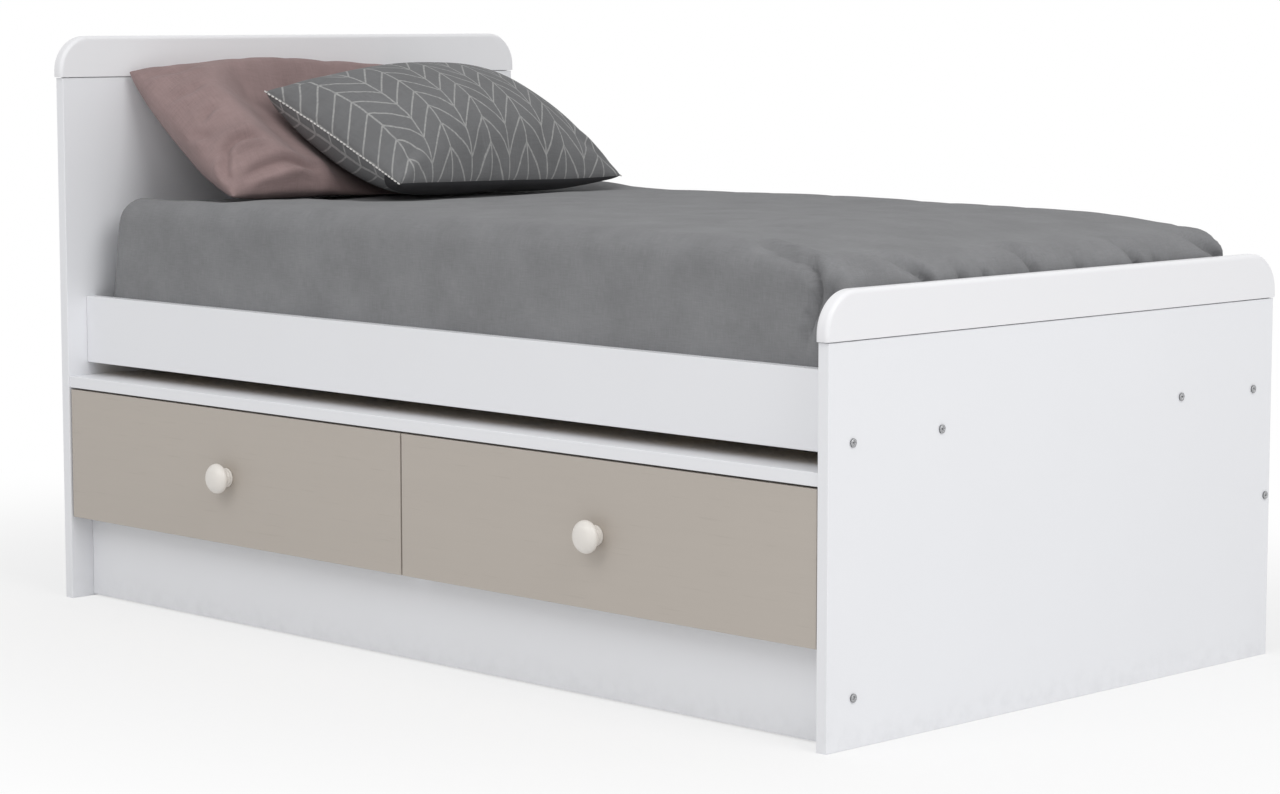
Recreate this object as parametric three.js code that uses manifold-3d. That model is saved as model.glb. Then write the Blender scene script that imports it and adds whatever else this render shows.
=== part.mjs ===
// Toddler bed with two drawers on roller runners, slatted base, mattress, bedspread and two pillows.
// Millimetres, +Z up. The head end is at -X, the drawers open towards -Y and the floor is Z = 0.
// The origin is on the floor, at the middle of the whole bed's length and depth.

import * as THREE from "three";
import { mergeVertices } from "three/addons/utils/BufferGeometryUtils.js";
import Module from "manifold-3d";

const wasm = await Module();
wasm.setup();

// Boards and the bed's overall form
const boardThickness = 15;
const boardEdge = 0.8;
const seam = 0.3;
const headHeight = 746;
const footHeight = 490;

// Mattress and the space that it needs between rails and end panels
const mattressLength = 1320;
const mattressWidth = 700;
const mattressThickness = 183;
const mattressEndClearance = 8;
const mattressSideClearance = 4;
const mattressCrown = 6;
const mattressCorner = 45;
const mattressEdge = 26;
const mattressHeadLean = 30;

// Moulded caps on the end panels
const capHeight = 53;
const capThickness = 18;
const capOverhang = 4;
const capCorner = 46;
const capEdge = 5;
const capGroove = 1.5;
const capTongue = 9;

// Side rails, ledges, end cleats and slats
const railSetback = 31;
const railHeight = 88;
const shadowGap = 17;
const ledgeWidth = 20;
const ledgeHeight = 15;
const cleatThickness = 20;
const slatCount = 8;
const slatWidth = 100;
const slatThickness = 15;
const slatEndClearance = 1.5;

// Drawer unit under the bed
const unitSetback = 2;
const floorGap = 2;
const plinthSetback = 34;
const plinthHeight = 106;
const frontBottom = 110;
const frontHeight = 170.5;
const frontGap = 2.5;
const dividerSetback = 2;

// Drawer boxes
const drawerWall = 12;
const drawerSideHeight = 130;
const bottomThickness = 3;
const grooveHeight = 9;
const grooveDepth = 5;

// Roller runners: a channel on the bed and an angled track on the drawer, one roller on each
const steel = 1.2;
const runnerLength = 500;
const runnerFrontGap = 3;
const runnerHeight = 12;
const runnerDepth = 10.5;
const runnerSideGap = 0.8;
const rollerRadius = 10;
const rollerWidth = 6.6;
const rollerClearance = 0.3;
const rollerInset = 15;
const trackHeadroom = 0.7;
const trackLip = 12;
const axleRadius = 2.5;
const axleShoulder = 4.2;
const axleHead = 0.6;
const runnerHoleRadius = 2.2;
const runnerHoleInset = 70;

// Knobs
const knobHeadRadius = 19;
const knobNeckRadius = 8.5;
const knobBaseRadius = 12;
const knobReach = 27;

// Screws through the footboard
const screwHeadRadius = 4.8;
const screwHeadHeight = 2.4;
const screwRadius = 2.5;
const screwLength = 42;
const screwClearance = 0.3;
const railScrewHeight = 13;
const cleatScrewInset = 183;

// Bedspread
const spreadGap = 0.6;
const spreadSide = 3;
const spreadTop = 6;
const hemHeight = 12;
const gatherDepth = 4;
const gatherReach = 95;
const gatherPitch = 27;
const rippleDepth = 3;
const ripplePitch = 74;
const sideFoldDepth = 2.4;
const sideFoldPitch = 255;

// Pillows: size between corners, swell above and below the seam, and how they lie
const pillowGap = 0.4;
const rosePillow = {
  width: 460,
  height: 275,
  upper: 78,
  lower: 42,
  tilt: 35,
  turn: -1.5,
  sink: 2,
  fromHeadboard: 0.6,
  fromFrontEdge: 282,
};
const greyPillow = {
  width: 448,
  height: 284,
  upper: 93,
  lower: 64,
  tilt: 24,
  turn: 5,
  sink: 12,
  fromHeadboard: 72,
  fromFrontEdge: 408,
};
const pillowPull = 0.06;

// Derived sizes
const innerLength = mattressLength + 2 * mattressEndClearance;
const bedLength = innerLength + 2 * boardThickness;
const railSpan = mattressWidth + 2 * mattressSideClearance;
const panelWidth = railSpan + 2 * (boardThickness + railSetback);
const innerEnd = innerLength / 2;
const panelEdge = panelWidth / 2;
const railInner = railSpan / 2;
const railOuter = railInner + boardThickness;
const unitFace = panelEdge - unitSetback;
const frontBack = unitFace - boardThickness;
const unitUnderside = frontBottom + frontHeight + frontGap;
const railBottom = unitUnderside + boardThickness + shadowGap;
const railTop = railBottom + railHeight;
const ledgeTop = railBottom + ledgeHeight;
const slatTop = ledgeTop + seam + slatThickness;
const mattressBase = slatTop + seam;
const mattressTop = mattressBase + mattressThickness;
const bedTop = mattressTop + spreadGap + spreadTop;
const plinthTop = floorGap + plinthHeight;
const plinthFront = -panelEdge + plinthSetback;
const plinthBack = plinthFront + boardThickness;
const bayWidth = (innerLength - boardThickness) / 2;
const bayCentre = (boardThickness + bayWidth) / 2;
const frontWidth = (innerLength - 3 * frontGap) / 2;
const frontCentre = (frontGap + frontWidth) / 2;
const runnerFront = -frontBack + runnerFrontGap;
const drawerLength = runnerFrontGap - seam + runnerLength;
const runnerBase = frontBottom + runnerHeight;
const runnerSpace = seam + runnerDepth + runnerSideGap + steel;
const rollerAxisHeight = rollerClearance + rollerRadius;
const trackUnderside = rollerAxisHeight + rollerRadius + rollerClearance;
const channelHeight = trackUnderside + steel + trackHeadroom;
const drawerSideBottom = runnerBase + steel + seam;
const drawerHalfWidth = bayWidth / 2 - runnerSpace - seam;
const knobFront = unitFace + seam + knobReach;
const capProud = (capThickness - boardThickness) / 2;
const originShiftX = (capProud - seam - screwHeadHeight) / 2;
const originShiftY = (knobFront - panelEdge - capOverhang) / 2;

// Finishes
const finishes = {
  whiteBoard: { color: 0xf1f1f3, roughness: 0.42, metalness: 0 },
  taupeBoard: { color: 0xbfb5aa, roughness: 0.5, metalness: 0 },
  rawBoard: { color: 0xd9c7a5, roughness: 0.75, metalness: 0 },
  hardboard: { color: 0xe9e8e6, roughness: 0.6, metalness: 0 },
  knobPlastic: { color: 0xe9e3db, roughness: 0.35, metalness: 0 },
  coatedSteel: { color: 0xe6e6e4, roughness: 0.45, metalness: 0.6 },
  nylon: { color: 0xf2f0ea, roughness: 0.5, metalness: 0 },
  screwSteel: { color: 0x8f9296, roughness: 0.4, metalness: 0.9 },
  ticking: { color: 0xeceae4, roughness: 0.9, metalness: 0 },
  greySpread: { color: 0x85868a, roughness: 0.95, metalness: 0 },
  roseCloth: { color: 0xa88d8b, roughness: 0.95, metalness: 0 },
  charcoalCloth: { color: 0x77787b, roughness: 0.95, metalness: 0 },
};

const bed = new THREE.Group();

function piece(parent, name, geometry, finish) {
  const mesh = new THREE.Mesh(geometry, new THREE.MeshStandardMaterial(finish));
  mesh.name = name;
  parent.add(mesh);
  return mesh;
}

// Directions for a drawn outline: its own X, its own Y and the way in which it is pushed out
const alongX = [new THREE.Vector3(0, 1, 0), new THREE.Vector3(0, 0, 1), new THREE.Vector3(1, 0, 0)];
const alongY = [new THREE.Vector3(1, 0, 0), new THREE.Vector3(0, 0, 1), new THREE.Vector3(0, -1, 0)];
const alongZ = [new THREE.Vector3(1, 0, 0), new THREE.Vector3(0, 1, 0), new THREE.Vector3(0, 0, 1)];

function pushOut(outline, depth, directions, options = {}) {
  const geometry = new THREE.ExtrudeGeometry(outline, { depth, bevelEnabled: false, ...options });
  geometry.applyMatrix4(new THREE.Matrix4().makeBasis(...directions));
  return geometry;
}

function rectangle(width, height) {
  const outline = new THREE.Shape();
  outline.moveTo(-width / 2, -height / 2);
  outline.lineTo(width / 2, -height / 2);
  outline.lineTo(width / 2, height / 2);
  outline.lineTo(-width / 2, height / 2);
  outline.closePath();
  return outline;
}

function polygon(points) {
  return new THREE.Shape(points.map(([x, y]) => new THREE.Vector2(x, y)));
}

// A board with slightly softened edges around its two broad faces, centred on its own origin
function boardGeometry(size, edge = boardEdge) {
  const thin = size.indexOf(Math.min(...size));
  const directions = [alongX, alongY, alongZ][thin];
  const [width, height] = size.filter((value, axis) => axis !== thin);
  const depth = size[thin] - 2 * edge;
  const rounding = { bevelEnabled: true, bevelSize: edge, bevelThickness: edge, bevelSegments: 2 };
  const geometry = pushOut(rectangle(width - 2 * edge, height - 2 * edge), depth, directions, rounding);
  geometry.center();
  return geometry;
}

function board(parent, name, [x0, x1], [y0, y1], [z0, z1], finish) {
  const mesh = piece(parent, name, boardGeometry([x1 - x0, y1 - y0, z1 - z0]), finish);
  mesh.position.set((x0 + x1) / 2, (y0 + y1) / 2, (z0 + z1) / 2);
  return mesh;
}

// Solids for cuts and joins
function toSolid(geometry) {
  const bare = geometry.clone();
  bare.deleteAttribute("normal");
  bare.deleteAttribute("uv");
  const merged = mergeVertices(bare, 1e-4);
  const vertProperties = new Float32Array(merged.attributes.position.array);
  const triVerts = new Uint32Array(merged.index.array);
  return new wasm.Manifold(new wasm.Mesh({ numProp: 3, vertProperties, triVerts }));
}

function toGeometry(solid) {
  const mesh = solid.getMesh();
  const geometry = new THREE.BufferGeometry();
  geometry.setAttribute("position", new THREE.BufferAttribute(new Float32Array(mesh.vertProperties), 3));
  geometry.setIndex(new THREE.BufferAttribute(new Uint32Array(mesh.triVerts), 1));
  geometry.computeVertexNormals();
  return geometry;
}

function at(geometry, x, y, z) {
  return geometry.clone().translate(x, y, z);
}

// A round bar or bore along X
function barAlongX(radius, x0, x1, y, z, sides = 12) {
  const bar = new THREE.CylinderGeometry(radius, radius, x1 - x0, sides);
  bar.rotateZ(-Math.PI / 2);
  return at(bar, (x0 + x1) / 2, y, z);
}

// Screw places on the footboard, as [name, y, z]
const railScrewY = railInner + boardThickness / 2;
const railScrewZ = railBottom + railScrewHeight;
const cleatScrewY = panelEdge - cleatScrewInset;
const cleatScrewZ = (railBottom + slatTop) / 2;
const backPanelZ = [frontBottom, unitUnderside - seam];
const screwPlaces = [
  ["foot_screw_front_rail", -railScrewY, railScrewZ],
  ["foot_screw_back_rail", railScrewY, railScrewZ],
  ["foot_screw_cleat_front", -cleatScrewY, cleatScrewZ],
  ["foot_screw_cleat_back", cleatScrewY, cleatScrewZ],
  ["foot_screw_plinth", (plinthFront + plinthBack) / 2, (floorGap + plinthTop) / 2],
  ["foot_screw_back_panel", unitFace - boardThickness / 2, (backPanelZ[0] + backPanelZ[1]) / 2],
];

// Bores that the footboard screws leave in the boards that they pass through or bite into
function boredForScrews(geometry, centre, places) {
  let solid = toSolid(at(geometry, ...centre));
  const radius = screwRadius + screwClearance;
  const deep = innerEnd + boardThickness - screwLength - 3 * screwClearance - screwRadius;
  for (const [, y, z] of places) {
    solid = solid.subtract(toSolid(barAlongX(radius, deep, bedLength / 2 + boardThickness, y, z)));
  }
  return toGeometry(solid);
}

function boredBoard(parent, name, [x0, x1], [y0, y1], [z0, z1], finish, places) {
  const geometry = boardGeometry([x1 - x0, y1 - y0, z1 - z0]);
  const centre = [(x0 + x1) / 2, (y0 + y1) / 2, (z0 + z1) / 2];
  return piece(parent, name, boredForScrews(geometry, centre, places), finish);
}

// End panels
function headPanel() {
  const x = [-bedLength / 2, -innerEnd];
  const z = [0, headHeight - capHeight - capGroove - seam];
  board(bed, "headboard_panel", x, [-panelEdge, panelEdge], z, finishes.whiteBoard);
}

function footPanel() {
  const x = [innerEnd, bedLength / 2];
  const z = [0, footHeight - capHeight - capGroove - seam];
  boredBoard(bed, "footboard_panel", x, [-panelEdge, panelEdge], z, finishes.whiteBoard, screwPlaces);
}

// A cap's front outline, round at the top corners, from its lower edge at 0 to its full height.
// The lower part is drawn a little longer and sawn off, so that only the top and the ends are round.
function capGeometry() {
  const half = panelEdge + capOverhang - capEdge;
  const top = capHeight - capEdge;
  const corner = capCorner - capEdge;
  const below = -2 * capEdge;
  const outline = new THREE.Shape();
  outline.moveTo(-half, below);
  outline.lineTo(half, below);
  outline.lineTo(half, top - corner);
  outline.absarc(half - corner, top - corner, corner, 0, Math.PI / 2, false);
  outline.lineTo(-half + corner, top);
  outline.absarc(-half + corner, top - corner, corner, Math.PI / 2, Math.PI, false);
  outline.closePath();
  const rounding = {
    bevelEnabled: true,
    bevelSize: capEdge,
    bevelThickness: capEdge,
    bevelSegments: 4,
    curveSegments: 10,
  };
  const depth = capThickness - 2 * capEdge;
  const body = pushOut(outline, depth, alongX, rounding).translate(-depth / 2, 0, 0);
  const waste = new THREE.BoxGeometry(4 * capThickness, 2 * panelWidth, 8 * capEdge);
  const sawn = toSolid(body).subtract(toSolid(at(waste, 0, 0, -4 * capEdge)));
  const tongue = new THREE.BoxGeometry(capTongue, panelWidth - 2 * capEdge, 2 * capGroove);
  return toGeometry(sawn.add(toSolid(tongue)));
}

function caps() {
  const shape = capGeometry();
  for (const [name, end, height] of [["headboard_cap", -1, headHeight], ["footboard_cap", 1, footHeight]]) {
    const cap = piece(bed, name, shape.clone(), finishes.whiteBoard);
    cap.position.set(end * (innerEnd + boardThickness / 2), 0, height - capHeight);
  }
}

// Rails, ledges, cleats and slats
function bedBase() {
  const between = [-innerEnd + seam, innerEnd - seam];
  const railZ = [railBottom, railTop];
  const [frontScrew, backScrew, ...cleatScrews] = screwPlaces.slice(0, 4);
  boredBoard(bed, "front_rail", between, [-railOuter, -railInner], railZ, finishes.whiteBoard, [frontScrew]);
  boredBoard(bed, "back_rail", between, [railInner, railOuter], railZ, finishes.whiteBoard, [backScrew]);

  const cleatInner = innerEnd - seam - cleatThickness;
  const cleatY = [-railInner + seam, railInner - seam];
  const cleatZ = [railBottom, slatTop];
  board(bed, "head_cleat", [-innerEnd + seam, -cleatInner], cleatY, cleatZ, finishes.rawBoard);
  boredBoard(bed, "foot_cleat", [cleatInner, innerEnd - seam], cleatY, cleatZ, finishes.rawBoard, cleatScrews);

  const ledgeX = [-cleatInner + seam, cleatInner - seam];
  const ledgeOuter = railInner - seam;
  const ledgeY = [ledgeOuter - ledgeWidth, ledgeOuter];
  const ledgeZ = [railBottom, ledgeTop];
  board(bed, "front_ledge", ledgeX, [-ledgeY[1], -ledgeY[0]], ledgeZ, finishes.rawBoard);
  board(bed, "back_ledge", ledgeX, ledgeY, ledgeZ, finishes.rawBoard);

  const gap = (2 * cleatInner - slatCount * slatWidth) / (slatCount + 1);
  const slatY = [-railInner + slatEndClearance, railInner - slatEndClearance];
  for (let i = 0; i < slatCount; i += 1) {
    const start = -cleatInner + gap + i * (slatWidth + gap);
    const slatZ = [ledgeTop + seam, slatTop];
    board(bed, `slat_${i + 1}`, [start, start + slatWidth], slatY, slatZ, finishes.rawBoard);
  }
}

// The fixed unit that holds the drawers
function drawerUnit() {
  const between = [-innerEnd + seam, innerEnd - seam];
  const white = finishes.whiteBoard;
  const topZ = [unitUnderside, unitUnderside + boardThickness];
  board(bed, "unit_top", between, [-unitFace, unitFace], topZ, white);
  const plinthScrew = [screwPlaces[4]];
  boredBoard(bed, "plinth", between, [plinthFront, plinthBack], [floorGap, plinthTop], white, plinthScrew);
  const backScrew = [screwPlaces[5]];
  boredBoard(bed, "back_panel", between, [frontBack, unitFace], backPanelZ, white, backScrew);

  const front = -frontBack + dividerSetback;
  const back = frontBack - seam;
  const top = unitUnderside - seam;
  const outline = polygon([
    [plinthBack + seam, floorGap],
    [back, floorGap],
    [back, top],
    [front, top],
    [front, plinthTop + seam],
    [plinthBack + seam, plinthTop + seam],
  ]);
  const divider = piece(bed, "divider", pushOut(outline, boardThickness, alongX), white);
  divider.position.x = -boardThickness / 2;
}

// A runner's channel, fixed to a wall of the bay, with its roller's axle near the front.
// Its outline is drawn from the wall (0) into the bay, and from the inside of its lower lip up.
function channelGeometry() {
  const inner = seam + steel;
  const outline = polygon([
    [seam, -steel],
    [runnerDepth, -steel],
    [runnerDepth, 0],
    [inner, 0],
    [inner, channelHeight],
    [runnerDepth, channelHeight],
    [runnerDepth, channelHeight + steel],
    [seam, channelHeight + steel],
  ]);
  return pushOut(outline, runnerLength, alongY).translate(0, runnerLength, 0);
}

// A runner's track, fixed to a drawer side: a running flange over the rollers and a lip that
// wraps the lower edge of the drawer side
function trackGeometry() {
  const web = runnerDepth + runnerSideGap;
  const reach = seam + steel + runnerSideGap;
  const outline = polygon([
    [reach, trackUnderside],
    [web, trackUnderside],
    [web, 0],
    [web + trackLip, 0],
    [web + trackLip, steel],
    [web + steel, steel],
    [web + steel, trackUnderside + steel],
    [reach, trackUnderside + steel],
  ]);
  return pushOut(outline, runnerLength, alongY).translate(0, runnerLength, 0);
}

// A roller's axle: a shoulder on the sheet, the pin and a riveted head beyond the roller.
// It stands on the sheet at x = from and points the way that side says.
const rollerStart = seam + steel + runnerSideGap + axleHead + rollerClearance;
const rollerEnd = rollerStart + rollerWidth;
const pinSides = 12;

function axleGeometry(from, side) {
  const near = side > 0 ? rollerStart - rollerClearance : rollerEnd + rollerClearance;
  const far = side > 0 ? rollerEnd + rollerClearance : rollerStart - rollerClearance;
  const root = steel / 2;
  const shoulder = Math.abs(near - from);
  const pin = Math.abs(far - from);
  const profile = [
    [0, -root],
    [axleShoulder, -root],
    [axleShoulder, shoulder],
    [axleRadius, shoulder],
    [axleRadius, pin],
    [axleShoulder, pin],
    [axleShoulder - axleHead / 2, pin + axleHead],
    [0, pin + axleHead],
  ].map(([radius, length]) => new THREE.Vector2(radius, length));
  const axle = new THREE.LatheGeometry(profile, pinSides);
  axle.rotateZ(-side * Math.PI / 2);
  return axle.translate(from, 0, 0);
}

// A nylon roller with a bore, slightly crowned, centred on its axis
function rollerGeometry() {
  const bore = axleRadius + rollerClearance;
  const half = rollerWidth / 2;
  const crown = 0.4;
  const profile = [
    [bore, -half],
    [rollerRadius - crown, -half],
    [rollerRadius, -half + 2 * crown],
    [rollerRadius, half - 2 * crown],
    [rollerRadius - crown, half],
    [bore, half],
    [bore, -half],
  ].map(([radius, length]) => new THREE.Vector2(radius, length));
  const roller = new THREE.LatheGeometry(profile, 20);
  roller.rotateZ(-Math.PI / 2);
  return roller;
}

const channelAxleY = rollerInset;
const trackAxleY = runnerLength - rollerInset;

// A rail of sheet steel joined to its axle, with three screw holes through its web at x = web
function railWithAxle(rail, axle, web) {
  let solid = toSolid(rail).add(toSolid(axle));
  for (const y of [runnerHoleInset, runnerLength / 2, runnerLength - runnerHoleInset]) {
    const hole = barAlongX(runnerHoleRadius, web - steel, web + 2 * steel, y, rollerAxisHeight, 10);
    solid = solid.subtract(toSolid(hole));
  }
  return toGeometry(solid);
}

// One runner in a bay: side is -1 on the bay's left wall and 1 on its right wall
function runner(parent, name, side) {
  const holder = new THREE.Group();
  holder.position.set(side * bayWidth / 2, runnerFront, runnerBase);
  parent.add(holder);
  const towardsWall = (geometry) => (side < 0 ? geometry : mirrored(geometry));

  const channelAxle = at(axleGeometry(seam + steel, 1), 0, channelAxleY, rollerAxisHeight);
  const channel = railWithAxle(channelGeometry(), channelAxle, seam);
  piece(holder, `${name}_channel`, towardsWall(channel), finishes.coatedSteel);

  const web = runnerDepth + runnerSideGap;
  const trackAxle = at(axleGeometry(web, -1), 0, trackAxleY, rollerAxisHeight);
  const track = railWithAxle(trackGeometry(), trackAxle, web);
  piece(holder, `${name}_track`, towardsWall(track), finishes.coatedSteel);

  const across = -side * (rollerStart + rollerEnd) / 2;
  const fixedRoller = piece(holder, `${name}_channel_roller`, rollerGeometry(), finishes.nylon);
  fixedRoller.position.set(across, channelAxleY, rollerAxisHeight);
  const movingRoller = piece(holder, `${name}_track_roller`, rollerGeometry(), finishes.nylon);
  movingRoller.position.set(across, trackAxleY, rollerAxisHeight);
}

// The same form for the other side of the bay, with its faces turned outward again
function mirrored(geometry) {
  const flipped = geometry.clone().scale(-1, 1, 1);
  const index = flipped.index.array;
  for (let i = 0; i < index.length; i += 3) {
    [index[i + 1], index[i + 2]] = [index[i + 2], index[i + 1]];
  }
  flipped.computeVertexNormals();
  return flipped;
}

// A turned mushroom knob: foot, waist and a domed head, standing out towards -Y
function knobGeometry() {
  const footDepth = 3;
  const waistDepth = 9;
  const rimDepth = 16;
  const profile = [new THREE.Vector2(0, 0), new THREE.Vector2(knobBaseRadius, 0)];
  const foot = new THREE.QuadraticBezierCurve(
    new THREE.Vector2(knobBaseRadius, footDepth),
    new THREE.Vector2(knobNeckRadius, footDepth + 1),
    new THREE.Vector2(knobNeckRadius, waistDepth - 1),
  );
  const flare = new THREE.QuadraticBezierCurve(
    new THREE.Vector2(knobNeckRadius, waistDepth),
    new THREE.Vector2(knobHeadRadius - 3, waistDepth + 1.5),
    new THREE.Vector2(knobHeadRadius, rimDepth),
  );
  const dome = new THREE.CubicBezierCurve(
    new THREE.Vector2(knobHeadRadius, rimDepth + 0.5),
    new THREE.Vector2(knobHeadRadius, rimDepth + 6),
    new THREE.Vector2(knobHeadRadius / 2, knobReach),
    new THREE.Vector2(0, knobReach),
  );
  profile.push(...foot.getPoints(3), ...flare.getPoints(4), ...dome.getPoints(6));
  const knob = new THREE.LatheGeometry(profile, 24);
  knob.rotateX(Math.PI);
  return knob;
}

// One drawer in its bay: front, two sides, back and a bottom that runs in grooves
function drawer(name, end) {
  const group = new THREE.Group();
  group.position.x = end * bayCentre;
  bed.add(group);

  const frontX = end * (frontCentre - bayCentre);
  const frontSpan = [frontX - frontWidth / 2, frontX + frontWidth / 2];
  const frontZ = [frontBottom, frontBottom + frontHeight];
  board(group, `${name}_front`, frontSpan, [-unitFace, -frontBack], frontZ, finishes.taupeBoard);
  const knob = piece(group, `${name}_knob`, knobGeometry(), finishes.knobPlastic);
  knob.position.set(frontX, -unitFace - seam, (frontZ[0] + frontZ[1]) / 2);

  const sideTop = drawerSideBottom + drawerSideHeight;
  const boxFront = -frontBack + seam;
  const boxBack = boxFront + drawerLength;
  const grooveTop = grooveHeight + bottomThickness + 2 * seam;
  for (const [label, side] of [["left", -1], ["right", 1]]) {
    const outer = side * drawerHalfWidth;
    const inner = side * (drawerHalfWidth - drawerWall);
    const cut = side * (drawerHalfWidth - drawerWall + grooveDepth);
    const outline = polygon([
      [outer, 0],
      [inner, 0],
      [inner, grooveHeight],
      [cut, grooveHeight],
      [cut, grooveTop],
      [inner, grooveTop],
      [inner, drawerSideHeight],
      [outer, drawerSideHeight],
    ]);
    const wall = pushOut(outline, drawerLength, alongY);
    const mesh = piece(group, `${name}_${label}_side`, wall, finishes.whiteBoard);
    mesh.position.set(0, boxBack, drawerSideBottom);
    runner(group, `${name}_${label}`, side);
  }

  const wallInner = drawerHalfWidth - drawerWall - seam;
  const backX = [-wallInner, wallInner];
  const backZ = [drawerSideBottom + grooveTop, sideTop];
  board(group, `${name}_back`, backX, [boxBack - drawerWall, boxBack], backZ, finishes.whiteBoard);
  const sheetHalf = drawerHalfWidth - drawerWall + grooveDepth - seam;
  const sheetZ = drawerSideBottom + grooveHeight + seam;
  const sheet = new THREE.BoxGeometry(2 * sheetHalf, drawerLength - seam, bottomThickness);
  const bottom = piece(group, `${name}_bottom`, sheet, finishes.hardboard);
  bottom.position.set(0, (boxFront + boxBack) / 2, sheetZ + bottomThickness / 2);
}

// A pan-head screw along X, its head outside the footboard
function screwGeometry() {
  const shank = screwLength - screwRadius;
  const profile = [
    [0, -screwLength],
    [screwRadius, -shank],
    [screwRadius, 0],
    [screwHeadRadius, 0],
    [screwHeadRadius, screwHeadHeight / 3],
    [screwHeadRadius * 0.75, screwHeadHeight * 0.85],
    [0, screwHeadHeight],
  ].map(([radius, length]) => new THREE.Vector2(radius, length));
  const screw = new THREE.LatheGeometry(profile, 12);
  screw.rotateZ(-Math.PI / 2);
  return screw;
}

function footScrews() {
  for (const [name, y, z] of screwPlaces) {
    const screw = piece(bed, name, screwGeometry(), finishes.screwSteel);
    screw.position.set(bedLength / 2 + seam, y, z);
  }
}

// A rounded rectangle's points and outward directions, counter-clockwise from the front foot corner
function roundedRing(halfLength, halfWidth, radius, { long, short, corner }) {
  const points = [];
  const add = (x, y, angle) => points.push({ x, y, nx: Math.cos(angle), ny: Math.sin(angle) });
  const turns = [[1, -1, short], [1, 1, long], [-1, 1, short], [-1, -1, long]];
  turns.forEach(([sx, sy, count], k) => {
    const cx = sx * (halfLength - radius);
    const cy = sy * (halfWidth - radius);
    const startAngle = (k - 1) * Math.PI / 2;
    for (let i = 0; i <= corner; i += 1) {
      const angle = startAngle + (i / corner) * Math.PI / 2;
      add(cx + radius * Math.cos(angle), cy + radius * Math.sin(angle), angle);
    }
    const last = points[points.length - 1];
    const [nextX, nextY] = turns[(k + 1) % 4];
    const endX = nextX * (halfLength - radius) + radius * Math.cos(startAngle + Math.PI / 2);
    const endY = nextY * (halfWidth - radius) + radius * Math.sin(startAngle + Math.PI / 2);
    for (let i = 1; i < count; i += 1) {
      const t = i / count;
      add(last.x + (endX - last.x) * t, last.y + (endY - last.y) * t, startAngle + Math.PI / 2);
    }
  });
  return points;
}

// A closed skin over rings of equal count, from the lowest to the highest
function skin(rings) {
  const count = rings[0].length;
  const positions = rings.flat().flatMap((p) => [p.x, p.y, p.z]);
  const index = [];
  for (let r = 0; r + 1 < rings.length; r += 1) {
    for (let i = 0; i < count; i += 1) {
      const a = r * count + i;
      const b = r * count + (i + 1) % count;
      index.push(a, b, b + count, a, b + count, a + count);
    }
  }
  const flat = rings[0].map((p) => new THREE.Vector2(p.x, p.y));
  for (const [a, b, c] of THREE.ShapeUtils.triangulateShape(flat, [])) {
    index.push(c, b, a);
  }
  const last = rings[rings.length - 1].map((p) => new THREE.Vector2(p.x, p.y));
  const offset = (rings.length - 1) * count;
  for (const [a, b, c] of THREE.ShapeUtils.triangulateShape(last, [])) {
    index.push(offset + a, offset + b, offset + c);
  }
  const geometry = new THREE.BufferGeometry();
  geometry.setAttribute("position", new THREE.Float32BufferAttribute(positions, 3));
  geometry.setIndex(index);
  geometry.computeVertexNormals();
  return geometry;
}

const smooth = (value) => {
  const t = Math.min(Math.max(value, 0), 1);
  return t * t * (3 - 2 * t);
};

// A padded block: straight sides that lean back at the head end, a round upper edge and a crown.
// grow moves every face outwards, rise adds to the top alone and fold gives the cloth's own waves.
function paddedBlock({ base, grow, rise, counts, edgeSteps, topInsets, fold }) {
  const halfLength = mattressLength / 2 + grow;
  const halfWidth = mattressWidth / 2 + grow;
  const edge = mattressEdge + grow;
  const top = mattressTop + rise;
  const levels = [[0, base]];
  const sideTop = top - edge;
  levels.push([0, railTop], [0, (railTop + sideTop) / 2], [0, sideTop]);
  for (let i = 1; i <= edgeSteps; i += 1) {
    const angle = (i / edgeSteps) * Math.PI / 2;
    levels.push([edge * (1 - Math.cos(angle)), sideTop + edge * Math.sin(angle)]);
  }
  const rings = levels.map(([inset, z]) => ring(inset, z, 0));
  topInsets.forEach((inset) => rings.push(ring(edge + inset, top, 1)));

  function ring(inset, z, crowned) {
    const radius = Math.max(mattressCorner + grow - inset, 6);
    return roundedRing(halfLength - inset, halfWidth - inset, radius, counts).map((p) => {
      const reach = (1 - (p.x / halfLength) ** 2) * (1 - (p.y / halfWidth) ** 2);
      const point = { ...p, z: z + crowned * mattressCrown * Math.sqrt(Math.max(reach, 0)) };
      const up = Math.max(0, (point.z - mattressBase) / mattressThickness);
      const atHead = smooth((-p.x - halfLength + 260) / 260);
      point.x += mattressHeadLean * up ** 1.6 * atHead;
      if (fold) {
        const out = fold(p, z, crowned);
        point.x += p.nx * out.across;
        point.y += p.ny * out.across;
        point.z += out.up;
      }
      return point;
    });
  }
  return skin(rings);
}

const softCounts = { long: 10, short: 6, corner: 3 };
const topInsets = [50, 120, 200];

function mattressGeometry(grow) {
  const base = mattressBase - grow;
  return paddedBlock({ base, grow, rise: grow, counts: softCounts, edgeSteps: 3, topInsets });
}

// What the cloth may stand out at the foot end before it meets the footboard's cap
const footRoom = mattressEndClearance - capProud - spreadGap - spreadSide - 2 * seam;

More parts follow.
